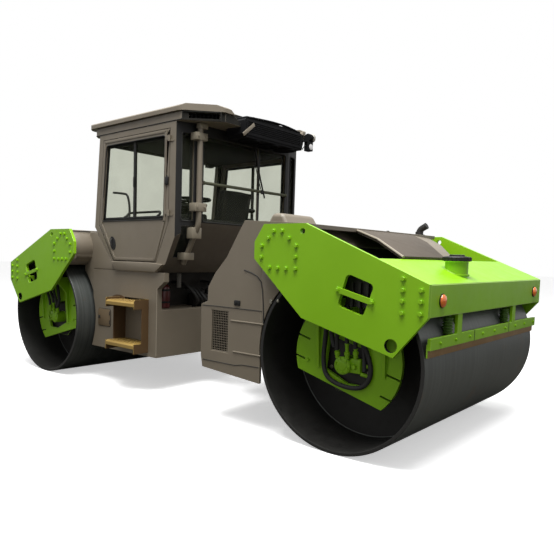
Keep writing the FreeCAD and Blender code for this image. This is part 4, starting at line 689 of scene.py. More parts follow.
def drum_drive():
    """Motor, valve block, hoses and bolts in the drum's end."""
    x, z, face = -1.825, 0.582, 0.955
    cover = lathe("motor_cover", [(0, 0.012), (0.030, 0.012), (0.036, 0.006), (0.052, 0.005), (0.058, 0.001),
                                  (0.058, -0.01)], (x, face, z), (0, 1, 0), 28)
    ring = [(x + 0.046 * math.cos(turn), face + 0.003, z + 0.046 * math.sin(turn))
            for turn in [0.3 + i * math.pi / 3 for i in range(6)]]
    parts = [soften(cover, 0.004, 2), repeat(bolt(0.0065, 0.010), "cover_bolts", ring)]
    parts.append(soften(slab("port_block", (x - 0.125, 0.87, z - 0.045), (x - 0.045, 0.935, z + 0.055)), 0.008, 3))
    parts.append(lathe("port_plug", [(0, 0.02), (0.016, 0.02), (0.02, 0.014), (0.02, 0)],
                       (x - 0.085, 0.935, z), (0, 1, 0), 6))
    for out, low, high in ((-0.030, 0.05, 0.155), (-0.095, 0.06, 0.130), (0.045, 0.045, 0.105)):
        height = high - low
        profile = [(0.015, 0), (0.015, 0.022), (0.019, 0.024), (0.019, 0.045), (0.012, 0.048),
                   (0.012, height - 0.012), (0.015, height - 0.010), (0.015, height), (0, height)]
        parts.append(lathe("fitting", profile, (x + out, 0.942, z + low), (0, 0.1, 1), 12))
    for out, up in ((-0.155, -0.055), (-0.175, 0.005)):
        parts.append(soften(bar("elbow", (x + out - 0.02, 0.905, z + up), (x + out + 0.03, 0.925, z + up + 0.012),
                                0.014, 8), 0.003, 2))
    on_corners(join("drum_motor", parts), "lime_paint")
    lines = []
    for out, rise, reach in ((-0.030, 0.15, -1.76), (-0.095, 0.125, -1.83), (0.045, 0.10, -1.71)):
        start = (x + out, 0.952, z + rise)
        lines.append(hose("line", [start, (start[0], 0.958, start[2] + 0.07), (start[0] - 0.01, 0.985, 0.86),
                                   (reach, 1.05, 0.98), (reach + 0.08, 1.06, 1.12), (reach + 0.2, 1.05, 1.24)],
                          0.014))
    loop = [hose("line", [(-1.70, 0.97, 1.0), (-1.69, 0.95, 0.86), (-1.665, 0.925, 0.74), (-1.650, 0.92, 0.60),
                               (-1.675, 0.925, 0.49), (-1.76, 0.93, 0.447), (-1.88, 0.93, 0.430),
                               (-1.99, 0.93, 0.455), (-2.035, 0.925, 0.56), (-1.99, 0.925, 0.70),
                               (-1.93, 0.97, 0.85), (-1.88, 1.02, 1.0)], 0.016)]
    lines.append(hose("line", [(-1.72, 0.99, 1.0), (-1.73, 0.965, 0.86), (-1.735, 0.95, 0.76), (-1.76, 0.955, 0.70)],
                      0.016))
    loop.append(hose("line", [(-1.97, 0.99, 1.0), (-1.975, 0.97, 0.86), (-1.96, 0.93, 0.74), (-1.98, 0.93, 0.62),
                               (-1.985, 0.94, 0.56)], 0.013))
    on_corners(join("drum_hoses", lines), "dark_steel", "rubber")
    # Only the rear drum's motors have the long loop to the vibration valve.
    loop = join("vibration_hoses", loop)
    for corner, x, y, body in CORNERS[:2]:
        finish(reflect(loop, "vibration_hoses_" + corner, x, y), "dark_steel", body, "rubber")
    bpy.data.objects.remove(loop)
    spots = [(-1.518, 0.91, 0.575)]
    on_corners(repeat(bolt(0.012, 0.012), "support_bolts", spots), "lime_paint")
    spots = []
    for turn in (31, 149, 210, 330):
        turn = math.radians(turn)
        spots.append((-1.825 + 0.17 * math.cos(turn), 0.849, 0.625 + 0.17 * math.sin(turn)))
    on_corners(repeat(bolt(0.011, 0.012), "carrier_bolts", spots), "dark_steel", "zinc")
    bead = [(-1.825 + 0.597 * math.cos(turn), 0.603, 0.625 + 0.597 * math.sin(turn))
            for turn in [i * math.pi / 36 for i in range(72)]]
    bead = strip("weld", bead, 0.004, True)
    for end, x in (("rear", 1), ("front", -1)):
        for side, y in (("left", 1), ("right", -1)):
            finish(reflect(bead, "drum_weld_%s_%s" % (end, side), x, y), "drum_steel", end + "_drum", "drum_steel")
    bpy.data.objects.remove(bead)


def scraper_parts():
    """Rubber springs on the hangers, joints and bolts on the bar."""
    rings = [(0.014, 0)]
    for i in range(6):
        low = 0.006 + i * 0.018
        rings += [(0.026, low), (0.034, low + 0.004), (0.034, low + 0.010), (0.026, low + 0.014)]
    rings += [(0.014, 0.118), (0.014, 0.135)]
    springs = [lathe("spring", rings, (-2.425, y, 0.838), (0, 0, 1), 16) for y in (0.700, -0.395)]
    # The springs in a darker green: painted shade, with some dirt.
    on_ends(join("scraper_springs", springs), "lime_paint", "spring_shaded")
    spots = [Matrix.Translation((-2.475, y, 0.81)) @ Matrix.Rotation(math.pi / 2, 4, "Z")
             for y in (-1.0, -0.76, -0.52, -0.28, -0.04, 0.2, 0.44, 0.68, 0.92)]
    on_ends(repeat(bolt(0.009, 0.009), "scraper_bolts", spots), "lime_paint")
    joints = [slab("joint", (-2.4765, y - 0.003, 0.776), (-2.452, y + 0.003, 0.8455)) for y in (0.36, -0.36)]
    on_ends(join("scraper_joints", joints), "dark_steel")
    edge = soften(slab("edge", (-2.458, -1.05, 0.727), (-2.446, 1.05, 0.80)), 0.002)
    on_ends(edge, "dark_steel", "scraper_strip")


def tank_parts():
    """Ribbed filler cap with its bar, and the collar on its neck."""
    cap = [lathe("cap", [(0.084, 1.302), (0.092, 1.304), (0.092, 1.326), (0.087, 1.332), (0.055, 1.336),
                         (0.05, 1.333), (0, 1.333)], (-2.340, 0.385, 0), (0, 0, 1), 40)]
    for i in range(20):
        turn = i * math.pi / 10
        out = Vector((math.cos(turn), math.sin(turn), 0))
        cap.append(bar("rib", Vector((-2.340, 0.385, 1.304)) + out * 0.0895,
                       Vector((-2.340, 0.385, 1.327)) + out * 0.0915, 0.0035, 6))
    cap.append(soften(slab("grip", (-2.39, 0.372, 1.331), (-2.29, 0.398, 1.347)), 0.006, 3))
    piece = join("filler_cap", cap)
    on_ends(piece, "black_plastic")
    on_ends(lathe("neck_collar", [(0.0765, 1.20), (0.084, 1.203), (0.084, 1.215), (0.0765, 1.218)],
                  (-2.340, 0.385, 0), (0, 0, 1), 32), "lime_paint")


def lamp_parts():
    """Indicator lamps: a black rim and a domed lens, in place of the plain discs."""
    for end, x in (("rear", 1), ("front", -1)):
        lenses, rims = [], []
        for y in (0.942, -0.942):
            rims.append(lathe("rim", [(0.038, 0.0005), (0.042, 0), (0.0435, 0.002), (0.0435, 0.005), (0.040, 0.007),
                                      (0.036, 0.006)], (-2.480, y, 1.065), (-1, 0, 0), 32))
            lenses.append(lathe("lens", [(0.040, 0.001), (0.0395, 0.009), (0.035, 0.016), (0.022, 0.021), (0.012, 0.0235),
                                         (0, 0.024)], (-2.480, y, 1.065), (-1, 0, 0), 32))
        rim, lens = join("lamp_rims", rims), join("lamp_lenses", lenses)
        lens_copy = finish(reflect(lens, end + "_lamp_lenses", x, 1), "orange_lens", end + "_frame")
        finish(reflect(rim, end + "_lamp_rims", x, 1), "black_plastic", end + "_frame")
        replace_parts(lens_copy, end + "_lamps")
        bpy.data.objects.remove(rim)
        bpy.data.objects.remove(lens)


def folded_sheet(name, rows, depth):
    """A sheet through rows of points, folded between them, with a thickness."""
    bpy.ops.object.select_all(action="DESELECT")
    bpy.ops.mesh.primitive_grid_add(x_subdivisions=len(rows) - 1, y_subdivisions=len(rows[0]) - 1)
    piece = settle(bpy.context.object, name)
    places = [row[k] for k in range(len(rows[0])) for row in rows]
    for vertex, place in zip(piece.data.vertices, places):
        vertex.co = place
    bpy.ops.object.mode_set(mode="EDIT")
    bpy.ops.mesh.select_all(action="SELECT")
    bpy.ops.mesh.extrude_region_move(TRANSFORM_OT_translate={"value": depth})
    bpy.ops.mesh.select_all(action="SELECT")
    bpy.ops.mesh.normals_make_consistent(inside=False)
    bpy.ops.object.mode_set(mode="OBJECT")
    return piece


def cover_parts():
    """Sloping cover between beam and tank in a darker grey, narrower at the beam, with a side wing; its lighter lip
    is a painted highlight and the dark sheet under it is painted shade.
    """
    rows = [((-1.530, 0.350, 1.534), (-1.530, -0.634, 1.534)), ((-1.838, 0.560, 1.452), (-1.838, -0.270, 1.452)),
            ((-2.142, 0.770, 1.326), (-2.142, 0.100, 1.326))]
    cover = soften(folded_sheet("cover", rows, (0.010, 0, -0.025)), 0.004, 2)
    wing = [((x, y, z - 0.004), (x, y - drop, z - 0.02))
            for (_, (x, y, z)), drop in zip(rows, (0.370, 0.290, 0.210))]
    wing = soften(folded_sheet("wing", wing, (0.005, 0, -0.012)), 0.003, 2)
    # A dark sheet under the cover: painted shade.
    void = [((x + 0.01, 1.05, z - 0.14), (x + 0.01, -1.05, z - 0.14)) for ((x, y, z), _) in rows]
    void = folded_sheet("void", void, (0, 0, -0.006))
    # A bead along the cover's edge in a lighter grey: painted highlight.
    lip = strip("lip", [(x, y + 0.004, z - 0.006) for ((x, y, z), _) in rows], 0.008)
    for end, x in (("rear", 1), ("front", -1)):
        body = end + "_frame"
        panel = finish(reflect(cover, "cover_" + end, x, 1), "grey_paint", body, "cover_dark_grey")
        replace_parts(panel, end + "_cover")
        finish(reflect(wing, "cover_wing_" + end, x, 1), "grey_paint", body)
        finish(reflect(void, "cover_void_" + end, x, 1), "dark_steel", body, "radiator_black_and_shade")
        finish(reflect(lip, "cover_lip_" + end, x, 1), "grey_paint", body, "grey_highlight")
    for piece in (cover, wing, void, lip):
        bpy.data.objects.remove(piece)


# The engine hood's own pieces
def both_sides(piece, slot, body, material=None):
    """Finishes a left piece and its copy on the right."""
    name = piece.name
    for side, y in (("left", 1), ("right", -1)):
        finish(reflect(piece, "%s_%s" % (side, name), 1, y), slot, body, material)
    bpy.data.objects.remove(piece)


def arc(middle, radius, starts):
    """Points on a drum arch, by their X, with the height above the axle."""
    return [(x, AXLE[1] + math.sqrt(radius ** 2 - (abs(x) - middle) ** 2)) for x in starts]


def flank_parts():
    """Side sheets that carry the hood and the front body on to the drum arches."""
    outline = [(-1.190, 1.240)] + [(-1.560, 1.240)]
    outline += arc(AXLE[0], 0.642, (-1.560, -1.52, -1.47, -1.42, -1.37, -1.32, -1.28, -1.24, -1.21, -1.190))
    sheet = soften(cut_sheet("hood_flank", [(x, 1.045, z) for x, z in outline], (0, 0.014, 0)), 0.003)
    both_sides(sheet, "grey_paint", "rear_frame")
    outline = [(0.812, 1.132), (0.890, 1.226), (1.141, 1.512), (1.276, 1.512), (1.276, 1.244), (1.360, 1.244)]
    outline += arc(AXLE[0], 0.674, (1.360, 1.33, 1.30, 1.27, 1.24, 1.215, 1.194)) + [(1.194, 1.132)]
    sheet = soften(cut_sheet("body_flank", [(x, 0.846, z) for x, z in outline], (0, 0.032, 0)), 0.012, 4)
    both_sides(sheet, "grey_paint", "front_frame")
    top = soften(slab("cowl_sheet", (1.120, -0.847, 1.500), (1.300, 0.847, 1.511)), 0.003)
    finish(top, "grey_paint", "front_frame")
    tube = bar("beam_sleeve", (1.3885, 0.86, 1.342), (1.3885, 1.098, 1.342), 0.176, 64)
    both_sides(soften(tube, 0.003), "grey_paint", "front_frame")
    seal = slab("beam_seal", (1.30, -1.098, 1.5045), (1.42, 1.098, 1.515))
    finish(soften(seal, 0.003), "black_plastic", "front_frame", "rubber")


def hood_parts():
    side = 1.0605
    seam = [(-1.02, 1.197), (-1.09, 1.180), (-1.150, 1.155), (-1.188, 1.115), (-1.203, 1.05), (-1.212, 0.96),
            (-1.217, 0.888), (-1.220, 0.82)]
    seams = [strip("seam", [(x, side, z) for x, z in seam], 0.0045)]
    seams.append(strip("seam", [(x, side, z) for x, z in ((-0.60, 0.468), (-0.95, 0.466), (-1.02, 0.480),
                                                          (-1.19, 0.484))], 0.003))
    seams.append(strip("seam", [(x, side, z) for x, z in ((-0.585, 0.903), (-0.72, 0.905), (-1.20, 0.902))], 0.003))
    both_sides(join("hood_seams", seams), "dark_steel", "rear_frame", "rubber")
    beads = []
    for z, start, end in ((0.806, -0.90, -1.212), (0.570, -0.93, -1.190)):
        bead = bar("bead", (start, 1.0585, z), (end, 1.0585, z), 0.0075, 12)
        beads.append(bead)
        for x in (start, end):
            bpy.ops.object.select_all(action="DESELECT")
            bpy.ops.mesh.primitive_uv_sphere_add(segments=12, ring_count=8, radius=0.0075, location=(x, 1.0585, z))
            beads.append(settle(bpy.context.object, "bead_end"))
    both_sides(join("hood_beads", beads), "grey_paint", "rear_frame")
    spots = [(-1.283, 1.06, 0.985), (-1.345, 1.06, 0.99), (-1.283, 1.06, 0.955 + 0.02)]
    both_sides(repeat(bolt(0.009, 0.007), "hood_bolts", spots), "dark_steel", "rear_frame", "zinc")
    # Lift-up latch on each door.
    latch = [soften(slab("latch", (-0.99, 1.059, 0.925), (-0.93, 1.068, 0.965)), 0.004, 2),
             bar("lock", (-0.945, 1.06, 0.945), (-0.945, 1.072, 0.945), 0.009, 16)]
    both_sides(join("hood_latch", latch), "dark_steel", "rear_frame", "black_plastic")


def grille_parts():
    """Square-holed pressed grille: 10 by 17 holes of 19 mm, in a thin frame over a dark radiator."""
    left, right, low, high = -0.872, -0.688, 0.553, 0.877
    bars = []
    for i in range(11):
        x = left + (right - left) * i / 10
        bars.append(slab("upright", (x - 0.0016, 1.0545, low), (x + 0.0016, 1.056, high)))
    for i in range(18):
        z = low + (high - low) * i / 17
        bars.append(slab("level", (left, 1.0552, z - 0.0016), (right, 1.0568, z + 0.0016)))
    for start, end in (((left - 0.004, 1.048, low - 0.004), (right + 0.004, 1.0585, low + 0.006)),
                       ((left - 0.004, 1.048, high - 0.006), (right + 0.004, 1.0585, high + 0.004)),
                       ((left - 0.004, 1.048, low), (left + 0.006, 1.0585, high)),
                       ((right - 0.006, 1.048, low), (right + 0.004, 1.0585, high))):
        bars.append(soften(slab("edge", start, end), 0.001, 1))
    mesh = join("grille", bars)
    left_one = finish(reflect(mesh, "left_grille", 1, 1), "dark_steel", "rear_frame", "grey_paint")
    finish(reflect(mesh, "right_grille", 1, -1), "dark_steel", "rear_frame", "grey_paint")
    bpy.data.objects.remove(mesh)
    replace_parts(left_one, "hood_grilles")
    fins = [slab("backing", (left - 0.02, 1.005, low - 0.02), (right + 0.02, 1.012, high + 0.02))]
    for i in range(26):
        x = left + (right - left) * (i + 0.5) / 26
        fins.append(slab("fin", (x - 0.001, 1.010, low), (x + 0.001, 1.022, high)))
    both_sides(join("radiator", fins), "dark_steel", "rear_frame", "radiator_black_and_shade")


def exhaust_parts():
    tip = Vector((-1.510, -0.985, 1.630))
    way = Vector((-70, 0, 40)).normalized()
    ring = lathe("tip", [(0.024, -0.05), (0.024, 0.002), (0.0305, 0.002), (0.032, -0.004), (0.0305, -0.014)],
                 tip - way * 0.0005, way, 24)
    ring.name = "exhaust_tip"
    finish(ring, "dark_steel", "rear_frame", "drum_black")
    collar = lathe("exhaust_collar", [(0.0302, 0), (0.05, 0), (0.05, 0.004), (0.036, 0.008), (0.036, 0.03),
                                      (0.0302, 0.03)], (-1.440, -0.985, 1.5425), (0, 0, 1), 28)
    finish(collar, "dark_steel", "rear_frame")
    breather = lathe("breather", [(0.014, 0), (0.014, 0.012), (0.008, 0.014), (0.008, 0.036), (0.015, 0.040),
                                  (0.015, 0.056), (0.010, 0.060), (0, 0.061)], (-1.40, -0.430, 1.497), (0, 0, 1), 20)
    finish(breather, "dark_steel", "rear_frame", "black_plastic")


# The cab's own pieces
def frame_sheet(name, corners, border, depth):
    """A flat frame: an outline inset by its border, without its middle, and extruded."""
    bpy.ops.object.select_all(action="DESELECT")
    bpy.ops.mesh.primitive_circle_add(vertices=len(corners), fill_type="NGON")
    piece = settle(bpy.context.object, name)
    for vertex, corner in zip(piece.data.vertices, corners):
        vertex.co = corner
    bpy.ops.object.mode_set(mode="EDIT")
    bpy.ops.mesh.select_mode(type="FACE")
    bpy.ops.mesh.select_all(action="SELECT")
    bpy.ops.mesh.inset(thickness=border, use_boundary=True)
    bpy.ops.mesh.delete(type="FACE")
    bpy.ops.mesh.select_all(action="SELECT")
    bpy.ops.mesh.extrude_region_move(TRANSFORM_OT_translate={"value": depth})
    bpy.ops.mesh.select_all(action="SELECT")
    bpy.ops.mesh.normals_make_consistent(inside=False)
    bpy.ops.object.mode_set(mode="OBJECT")
    return piece


DOOR_PANE = ((0.100, 2.350), (0.110, 1.612), (1.057, 1.612), (0.985, 2.350))


def door_parts():
    """Seals, slide window, handles and the oval lock pocket of the left door, copied to the right."""
    outline = round_corners([(x, 0.853, z) for x, z in DOOR_PANE], 0.03)
    pieces = {}
    pieces["seal"] = (frame_sheet("seal", outline, 0.026, (0, 0.010, 0)), "rubber")
    outline = [(x, 0.8815, z) for x, _, z in round_corners([(x, 0, z) for x, z in DOOR_PANE], 0.03)]
    pieces["gasket"] = (strip("gasket", outline, 0.006, True), "rubber")
    slide = [slab("post", (0.545, 0.846, 1.63), (0.575, 0.866, 2.34)),
             slab("rail", (0.13, 0.846, 1.632), (1.03, 0.864, 1.648)),
             soften(slab("grip", (0.55, 0.864, 1.93), (0.57, 0.876, 2.02)), 0.003, 2)]
    pieces["slide"] = (join("slide", slide), "black_plastic")
    upper = hose("upper", [(0.960, 0.815, 1.900), (0.90, 0.80, 1.895), (0.82, 0.795, 1.884), (0.765, 0.795, 1.876),
                           (0.735, 0.795, 1.82), (0.71, 0.80, 1.72), (0.690, 0.822, 1.640)], 0.011)
    lower = hose("lower", [(0.747, 0.838, 1.645), (0.745, 0.80, 1.668), (0.735, 0.792, 1.690), (0.68, 0.79, 1.692),
                           (0.50, 0.79, 1.692), (0.32, 0.79, 1.692), (0.265, 0.792, 1.690), (0.255, 0.80, 1.668),
                           (0.253, 0.838, 1.645)], 0.011)
    pieces["inner_handles"] = (join("inner_handles", [upper, lower]), "black_plastic")
    oval = [(0.869 + 0.040 * math.cos(turn) + 0.014 * math.sin(turn), 0.8785, 1.396 + 0.062 * math.sin(turn))
            for turn in [i * math.pi / 14 for i in range(28)]]
    rim = strip("rim", [(x, 0.881, z) for x, y, z in oval], 0.004, True)
    pieces["lock_rim"] = (rim, "black_plastic")
    pocket = soften(cut_sheet("pocket", oval, (0, 0.003, 0)), 0.001, 1)
    pull = hose("pull", [(0.872, 0.882, 1.352), (0.876, 0.894, 1.366), (0.882, 0.896, 1.40), (0.886, 0.894, 1.428),
                         (0.888, 0.882, 1.442)], 0.007)
    pieces["lock_pocket"] = (join("lock_pocket", [pocket, pull]), "rubber")
    latch = [soften(slab("latch", (0.052, 0.880, 1.915), (0.090, 0.897, 1.985)), 0.004, 2),
             bar("latch_pin", (0.071, 0.89, 1.91), (0.071, 0.89, 1.995), 0.006, 12)]
    pieces["window_latch"] = (join("window_latch", latch), "black_plastic")
    edge = [(0.082, 2.402), (0.092, 1.590), (0.222, 1.232), (0.848, 1.232), (1.070, 1.580), (1.024, 2.402)]
    rim = frame_sheet("rim", round_corners([(x, 0.8795, z) for x, z in edge], 0.012, 3), 0.026, (0, 0.0065, 0))
    pieces["pressed_rim"] = (soften(rim, 0.0025, 2), "grey_paint")
    for part, (piece, material) in pieces.items():
        for side, y in (("left", 1), ("right", -1)):
            slot = "grey_paint" if material == "grey_paint" else "black_plastic"
            finish(reflect(piece, "%s_door_%s" % (side, part), 1, y), slot, side + "_door", material)
        bpy.data.objects.remove(piece)


def corner_x(y, shift):
    """X on the cab's cut rear corner, moved in by a shift."""
    return -0.1 + (y - 0.654) * 0.065 / 0.226 + shift


def rear_window_parts():
    rows = [(-0.609, 1.600), (0.609, 1.600), (0.609, 2.370), (-0.609, 2.370)]
    outline = round_corners([(-0.0995, y, z) for y, z in rows], 0.03)
    finish(strip("rear_gasket", outline, 0.007, True), "black_plastic", "front_frame", "rubber")
    outline = round_corners([(-0.074, y, z) for y, z in rows], 0.03)
    finish(frame_sheet("rear_seal", outline, 0.032, (0.006, 0, 0)), "black_plastic", "front_frame", "rubber")
    corner = [(0.704, 1.600), (0.826, 1.600), (0.826, 2.370), (0.704, 2.370)]
    bead = strip("gasket", round_corners([(corner_x(y, -0.001), y, z) for y, z in corner], 0.02), 0.006, True)
    seal = frame_sheet("seal", round_corners([(corner_x(y, 0.027), y, z) for y, z in corner], 0.02), 0.022,
                       (0.006, 0, 0))
    both_sides(join("corner_gasket", [bead, seal]), "black_plastic", "front_frame", "rubber")
    blind = cut_sheet("corner_blind", [(corner_x(0.700, 0.06), 0.700, 2.060), (corner_x(0.833, 0.06), 0.833, 2.060),
                                       (corner_x(0.833, 0.06), 0.833, 2.405), (corner_x(0.700, 0.06), 0.700, 2.405)],
                      (0.004, 0, 0))
    both_sides(blind, "black_plastic", "front_frame", "trim_and_shade")
    low = [(0.674, 1.272), (0.818, 1.272), (0.818, 1.555), (0.674, 1.555)]

    def foot_x(z):
        return -0.1 + (1.59 - z) * 0.183 / 0.379

    pane = cut_sheet("foot_window", [(foot_x(z) + 0.045, y, z) for y, z in low], (0.005, 0, 0.002))
    both_sides(pane, "glass", "front_frame")
    bead = strip("foot_gasket", [(foot_x(z) + 0.012 + (y - 0.654) * 0.2, y, z) for y, z in low], 0.007, True)
    both_sides(bead, "black_plastic", "front_frame", "rubber")
    # Wiper: it hangs from its spindle over the window.
    wiper = [bar("spindle", (-0.096, -0.065, 2.388), (-0.126, -0.065, 2.388), 0.016, 16),
             hose("arm", [(-0.122, -0.078, 2.385), (-0.126, -0.100, 2.27), (-0.126, -0.163, 2.08),
                          (-0.118, -0.253, 1.89)], 0.008),
             hose("twin", [(-0.120, -0.050, 2.380), (-0.124, -0.070, 2.27), (-0.124, -0.120, 2.10),
                           (-0.120, -0.195, 1.96)], 0.004),
             soften(slab("holder", (-0.126, -0.225, 1.925), (-0.114, -0.190, 1.965)), 0.003, 1)]
    finish(join("rear_wiper", wiper), "black_plastic", "front_frame")
    sleeve = [bar("sleeve", (-0.108, -0.600, 1.950), (-0.108, 0.600, 1.950), 0.0145, 20)]
    sleeve += [lathe("stop", [(0.0145, 0), (0.019, 0.001), (0.019, 0.014), (0.0145, 0.015)],
                     (-0.108, y, 1.950), (0, 1, 0), 20) for y in (-0.612, 0.598)]
    finish(join("guard_sleeve", sleeve), "black_plastic", "front_frame", "sleeve")


def post_parts():
    """Bent pipe down the rear left post on its clamps, with a junction box under the roof."""
    y = 0.690
    line = [(-0.140, y, 2.452), (-0.140, y, 2.0), (-0.140, y, 1.70), (-0.140, y, 1.60), (-0.125, y, 1.535),
            (-0.060, y, 1.42), (0.045, y + 0.005, 1.215)]
    pipe = finish(hose("post_line", line, 0.025, 6), "grey_paint", "front_frame")
    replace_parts(pipe, "post_pipe")
    held = [slab("clamp", (-0.168, y - 0.068, 2.308), (-0.088, y + 0.068, 2.372)),
            slab("clamp", (-0.168, y - 0.070, 1.686), (-0.088, y + 0.070, 1.759)),
            slab("box", (-0.168, y - 0.070, 2.412), (-0.118, y + 0.028, 2.456)),
            slab("bracket", (-0.128, y - 0.052, 1.445), (-0.050, y + 0.060, 1.545)),
            slab("low_clamp", (-0.035, y - 0.055, 1.252), (0.062, y + 0.065, 1.318))]
    for piece in held:
        soften(piece, 0.003, 2)
    for z in (2.34, 1.722):
        held.append(bar("screw", (-0.176, y - 0.045, z), (-0.166, y - 0.045, z), 0.011, 6))
        held.append(bar("screw", (-0.176, y + 0.045, z), (-0.166, y + 0.045, z), 0.011, 6))
    # The clamps and box in a lighter grey: painted highlight.
    finish(join("post_clamps", held), "grey_paint", "front_frame", "clamp_highlight_grey")


def roof_parts():
    """Fins in the air intakes, the cooling unit's grille and seams, lamps."""
    fins = []
    for i in range(7):
        share = (i + 0.5) / 7
        x = -0.148 - share * 0.155
        y = 0.826 - share * 0.195
        fins.append(cut_sheet("fin", [(x, y, 2.476), (x + 0.045, y - 0.045, 2.476), (x + 0.045, y - 0.045, 2.520),
                                      (x, y, 2.520)], (0.003, 0.003, 0)))
    both_sides(join("intake_fins", fins), "black_plastic", "front_frame", "radiator_black_and_shade")
    near, far = Vector((-0.1052, 0.8835, 0)), Vector((-0.3380, 0.6295, 0))
    facet = [(near.x, near.y, 2.463), (far.x, far.y, 2.463), (far.x, far.y, 2.538), (near.x, near.y, 2.538)]
    shroud = frame_sheet("intake_shroud", facet, 0.010, (-0.002, 0.002, 0))
    both_sides(shroud, "black_plastic", "front_frame", "trim_and_shade")
    line = [(-0.101, 0.8805, 2.4655), (1.16, 0.8805, 2.4655)]
    both_sides(strip("roof_seal", line, 0.005), "black_plastic", "front_frame", "rubber")
    back = -0.3815
    slats = []
    for i in range(7):
        z = 2.405 + i * 0.017
        slats.append(soften(slab("slat", (back - 0.006, -0.46, z), (back + 0.004, 0.325, z + 0.008)), 0.002, 1))
    slats.append(frame_sheet("surround", round_corners([(back + 0.002, -0.48, 2.392), (back + 0.002, 0.345, 2.392),
                                                        (back + 0.002, 0.345, 2.526), (back + 0.002, -0.48, 2.526)],
                                                       0.015), 0.014, (-0.007, 0, 0)))
    finish(join("unit_grille", slats), "black_plastic", "front_frame", "radiator_black_and_shade")
    fan = [lathe("shroud", [(0.095, 0), (0.105, 0), (0.108, -0.004), (0.108, -0.012), (0.095, -0.012)],
                 (-0.27, y, 2.370), (0, 0, 1), 32) for y in (0.18, -0.10, -0.36)]
    for y in (0.18, -0.10, -0.36):
        for radius in (0.025, 0.05, 0.075):
            ring = [(-0.27 + radius * math.cos(i * math.pi / 12), y + radius * math.sin(i * math.pi / 12), 2.362)
                    for i in range(24)]
            fan.append(strip("guard", ring, 0.0018, True))
        for i in range(6):
            turn = i * math.pi / 6
            reach = Vector((math.cos(turn), math.sin(turn), 0)) * 0.1
            centre = Vector((-0.27, y, 2.362))
            fan.append(bar("spoke", centre - reach, centre + reach, 0.0018, 6))
    finish(join("unit_fans", fan), "black_plastic", "front_frame", "radiator_black_and_shade")
    stay = cut_sheet("unit_stay", [(-0.3815, 0.2584, 2.5084), (-0.3815, 0.2376, 2.4816), (-0.3815, 0.3846, 2.3676),
                                   (-0.3815, 0.4054, 2.3944)], (-0.007, 0, 0))
    finish(soften(stay, 0.002, 2), "grey_paint", "front_frame")
    lid = [soften(slab("lid", (-0.372, -0.49, 2.532), (-0.20, 0.34, 2.560)), 0.014, 3)]
    for low, high, top in ((-0.42, -0.22, 2.572), (-0.16, 0.02, 2.578), (0.08, 0.24, 2.570)):
        lid.append(soften(slab("blower", (-0.362, low, 2.55), (-0.22, high, top)), 0.02, 4))
    lid.append(hose("lid_pipe", [(-0.368, -0.47, 2.545), (-0.372, -0.3, 2.566), (-0.37, -0.1, 2.571),
                                 (-0.372, 0.1, 2.563), (-0.368, 0.33, 2.548)], 0.009))
    finish(join("unit_lid", lid), "black_plastic", "front_frame", "radiator_black_and_shade")
    ball = lathe("ball_lamp", [(0, -0.040), (0.030, -0.036), (0.040, -0.022), (0.042, -0.004), (0.042, 0.010),
                               (0.036, 0.026), (0.024, 0.036), (0.010, 0.041), (0, 0.042)],
                 (-0.390, -0.650, 2.520), (0, 0, 1), 32)
    finish(ball, "grey_paint", "front_frame", "light_grey")
    both = []
    for x, y, z, way in ((-0.427, -0.595, 2.4175, -1), (1.2115, 0.760, 2.4085, 1), (1.2115, -0.760, 2.4085, 1)):
        both.append(lathe("lens", [(0, 0.004), (0.02, 0.0035), (0.030, 0.001), (0.031, -0.004)], (x, y, z),
                          (way, 0, 0), 28))
    finish(join("lamp_glasses", both), "glass", "front_frame", "white_lens")


def cab_inside():
    """Side consoles, the steering wheel with its grip, the roof lining and the floor mat, seen through the glass."""
    pieces = []
    for y in (0.36, -0.36):
        pieces.append(soften(slab("side_console", (0.16, y - 0.09, 1.18), (0.56, y + 0.09, 1.70)), 0.025, 3))
        pieces.append(soften(slab("armrest", (0.13, y - 0.055, 1.76), (0.46, y + 0.055, 1.80)), 0.018, 3))
        pieces.append(bar("armrest_post", (0.25, y, 1.69), (0.25, y, 1.77), 0.022, 16))
        pieces.append(hose("lever", [(0.49, y, 1.69), (0.50, y, 1.76), (0.515, y, 1.83)], 0.009))
        pieces.append(lathe("knob", [(0, -0.025), (0.016, -0.018), (0.021, 0), (0.018, 0.018), (0, 0.026)],
                            (0.52, y, 1.845), (0, 0, 1), 20))
    finish(join("side_consoles", pieces), "black_plastic", "front_frame")
    rim = [(0.690 + 0.2 * math.cos(i * math.pi / 20), 0.2 * math.sin(i * math.pi / 20), 1.890) for i in range(40)]
    wheel = [strip("rim", rim, 0.0165, True)]
    hub = lathe("hub", [(0.055, -0.02), (0.062, -0.004), (0.055, 0.014), (0.03, 0.022), (0, 0.022)],
                (0.690, 0, 1.890), (0, 0, 1), 32)
    wheel.append(hub)
    wheel.append(lathe("knob", [(0.011, 0), (0.011, 0.03), (0.023, 0.036), (0.026, 0.055), (0.018, 0.072),
                                (0, 0.076)], (0.52, 0.11, 1.895), (0, 0, 1), 20))
    panel = soften(slab("dash", (0.735, -0.16, 1.66), (0.80, 0.16, 1.86)), 0.02, 3)
    wheel.append(panel)
    finish(join("steering_wheel", wheel), "black_plastic", "front_frame")
    lining = soften(slab("roof_lining", (-0.045, -0.82, 2.385), (1.08, 0.82, 2.408)), 0.01, 2)
    finish(lining, "black_plastic", "front_frame", "trim_and_shade")
    mat = soften(slab("floor_mat", (0.21, -0.81, 1.181), (0.78, 0.81, 1.188)), 0.003, 2)
    finish(mat, "black_plastic", "front_frame", "rubber")


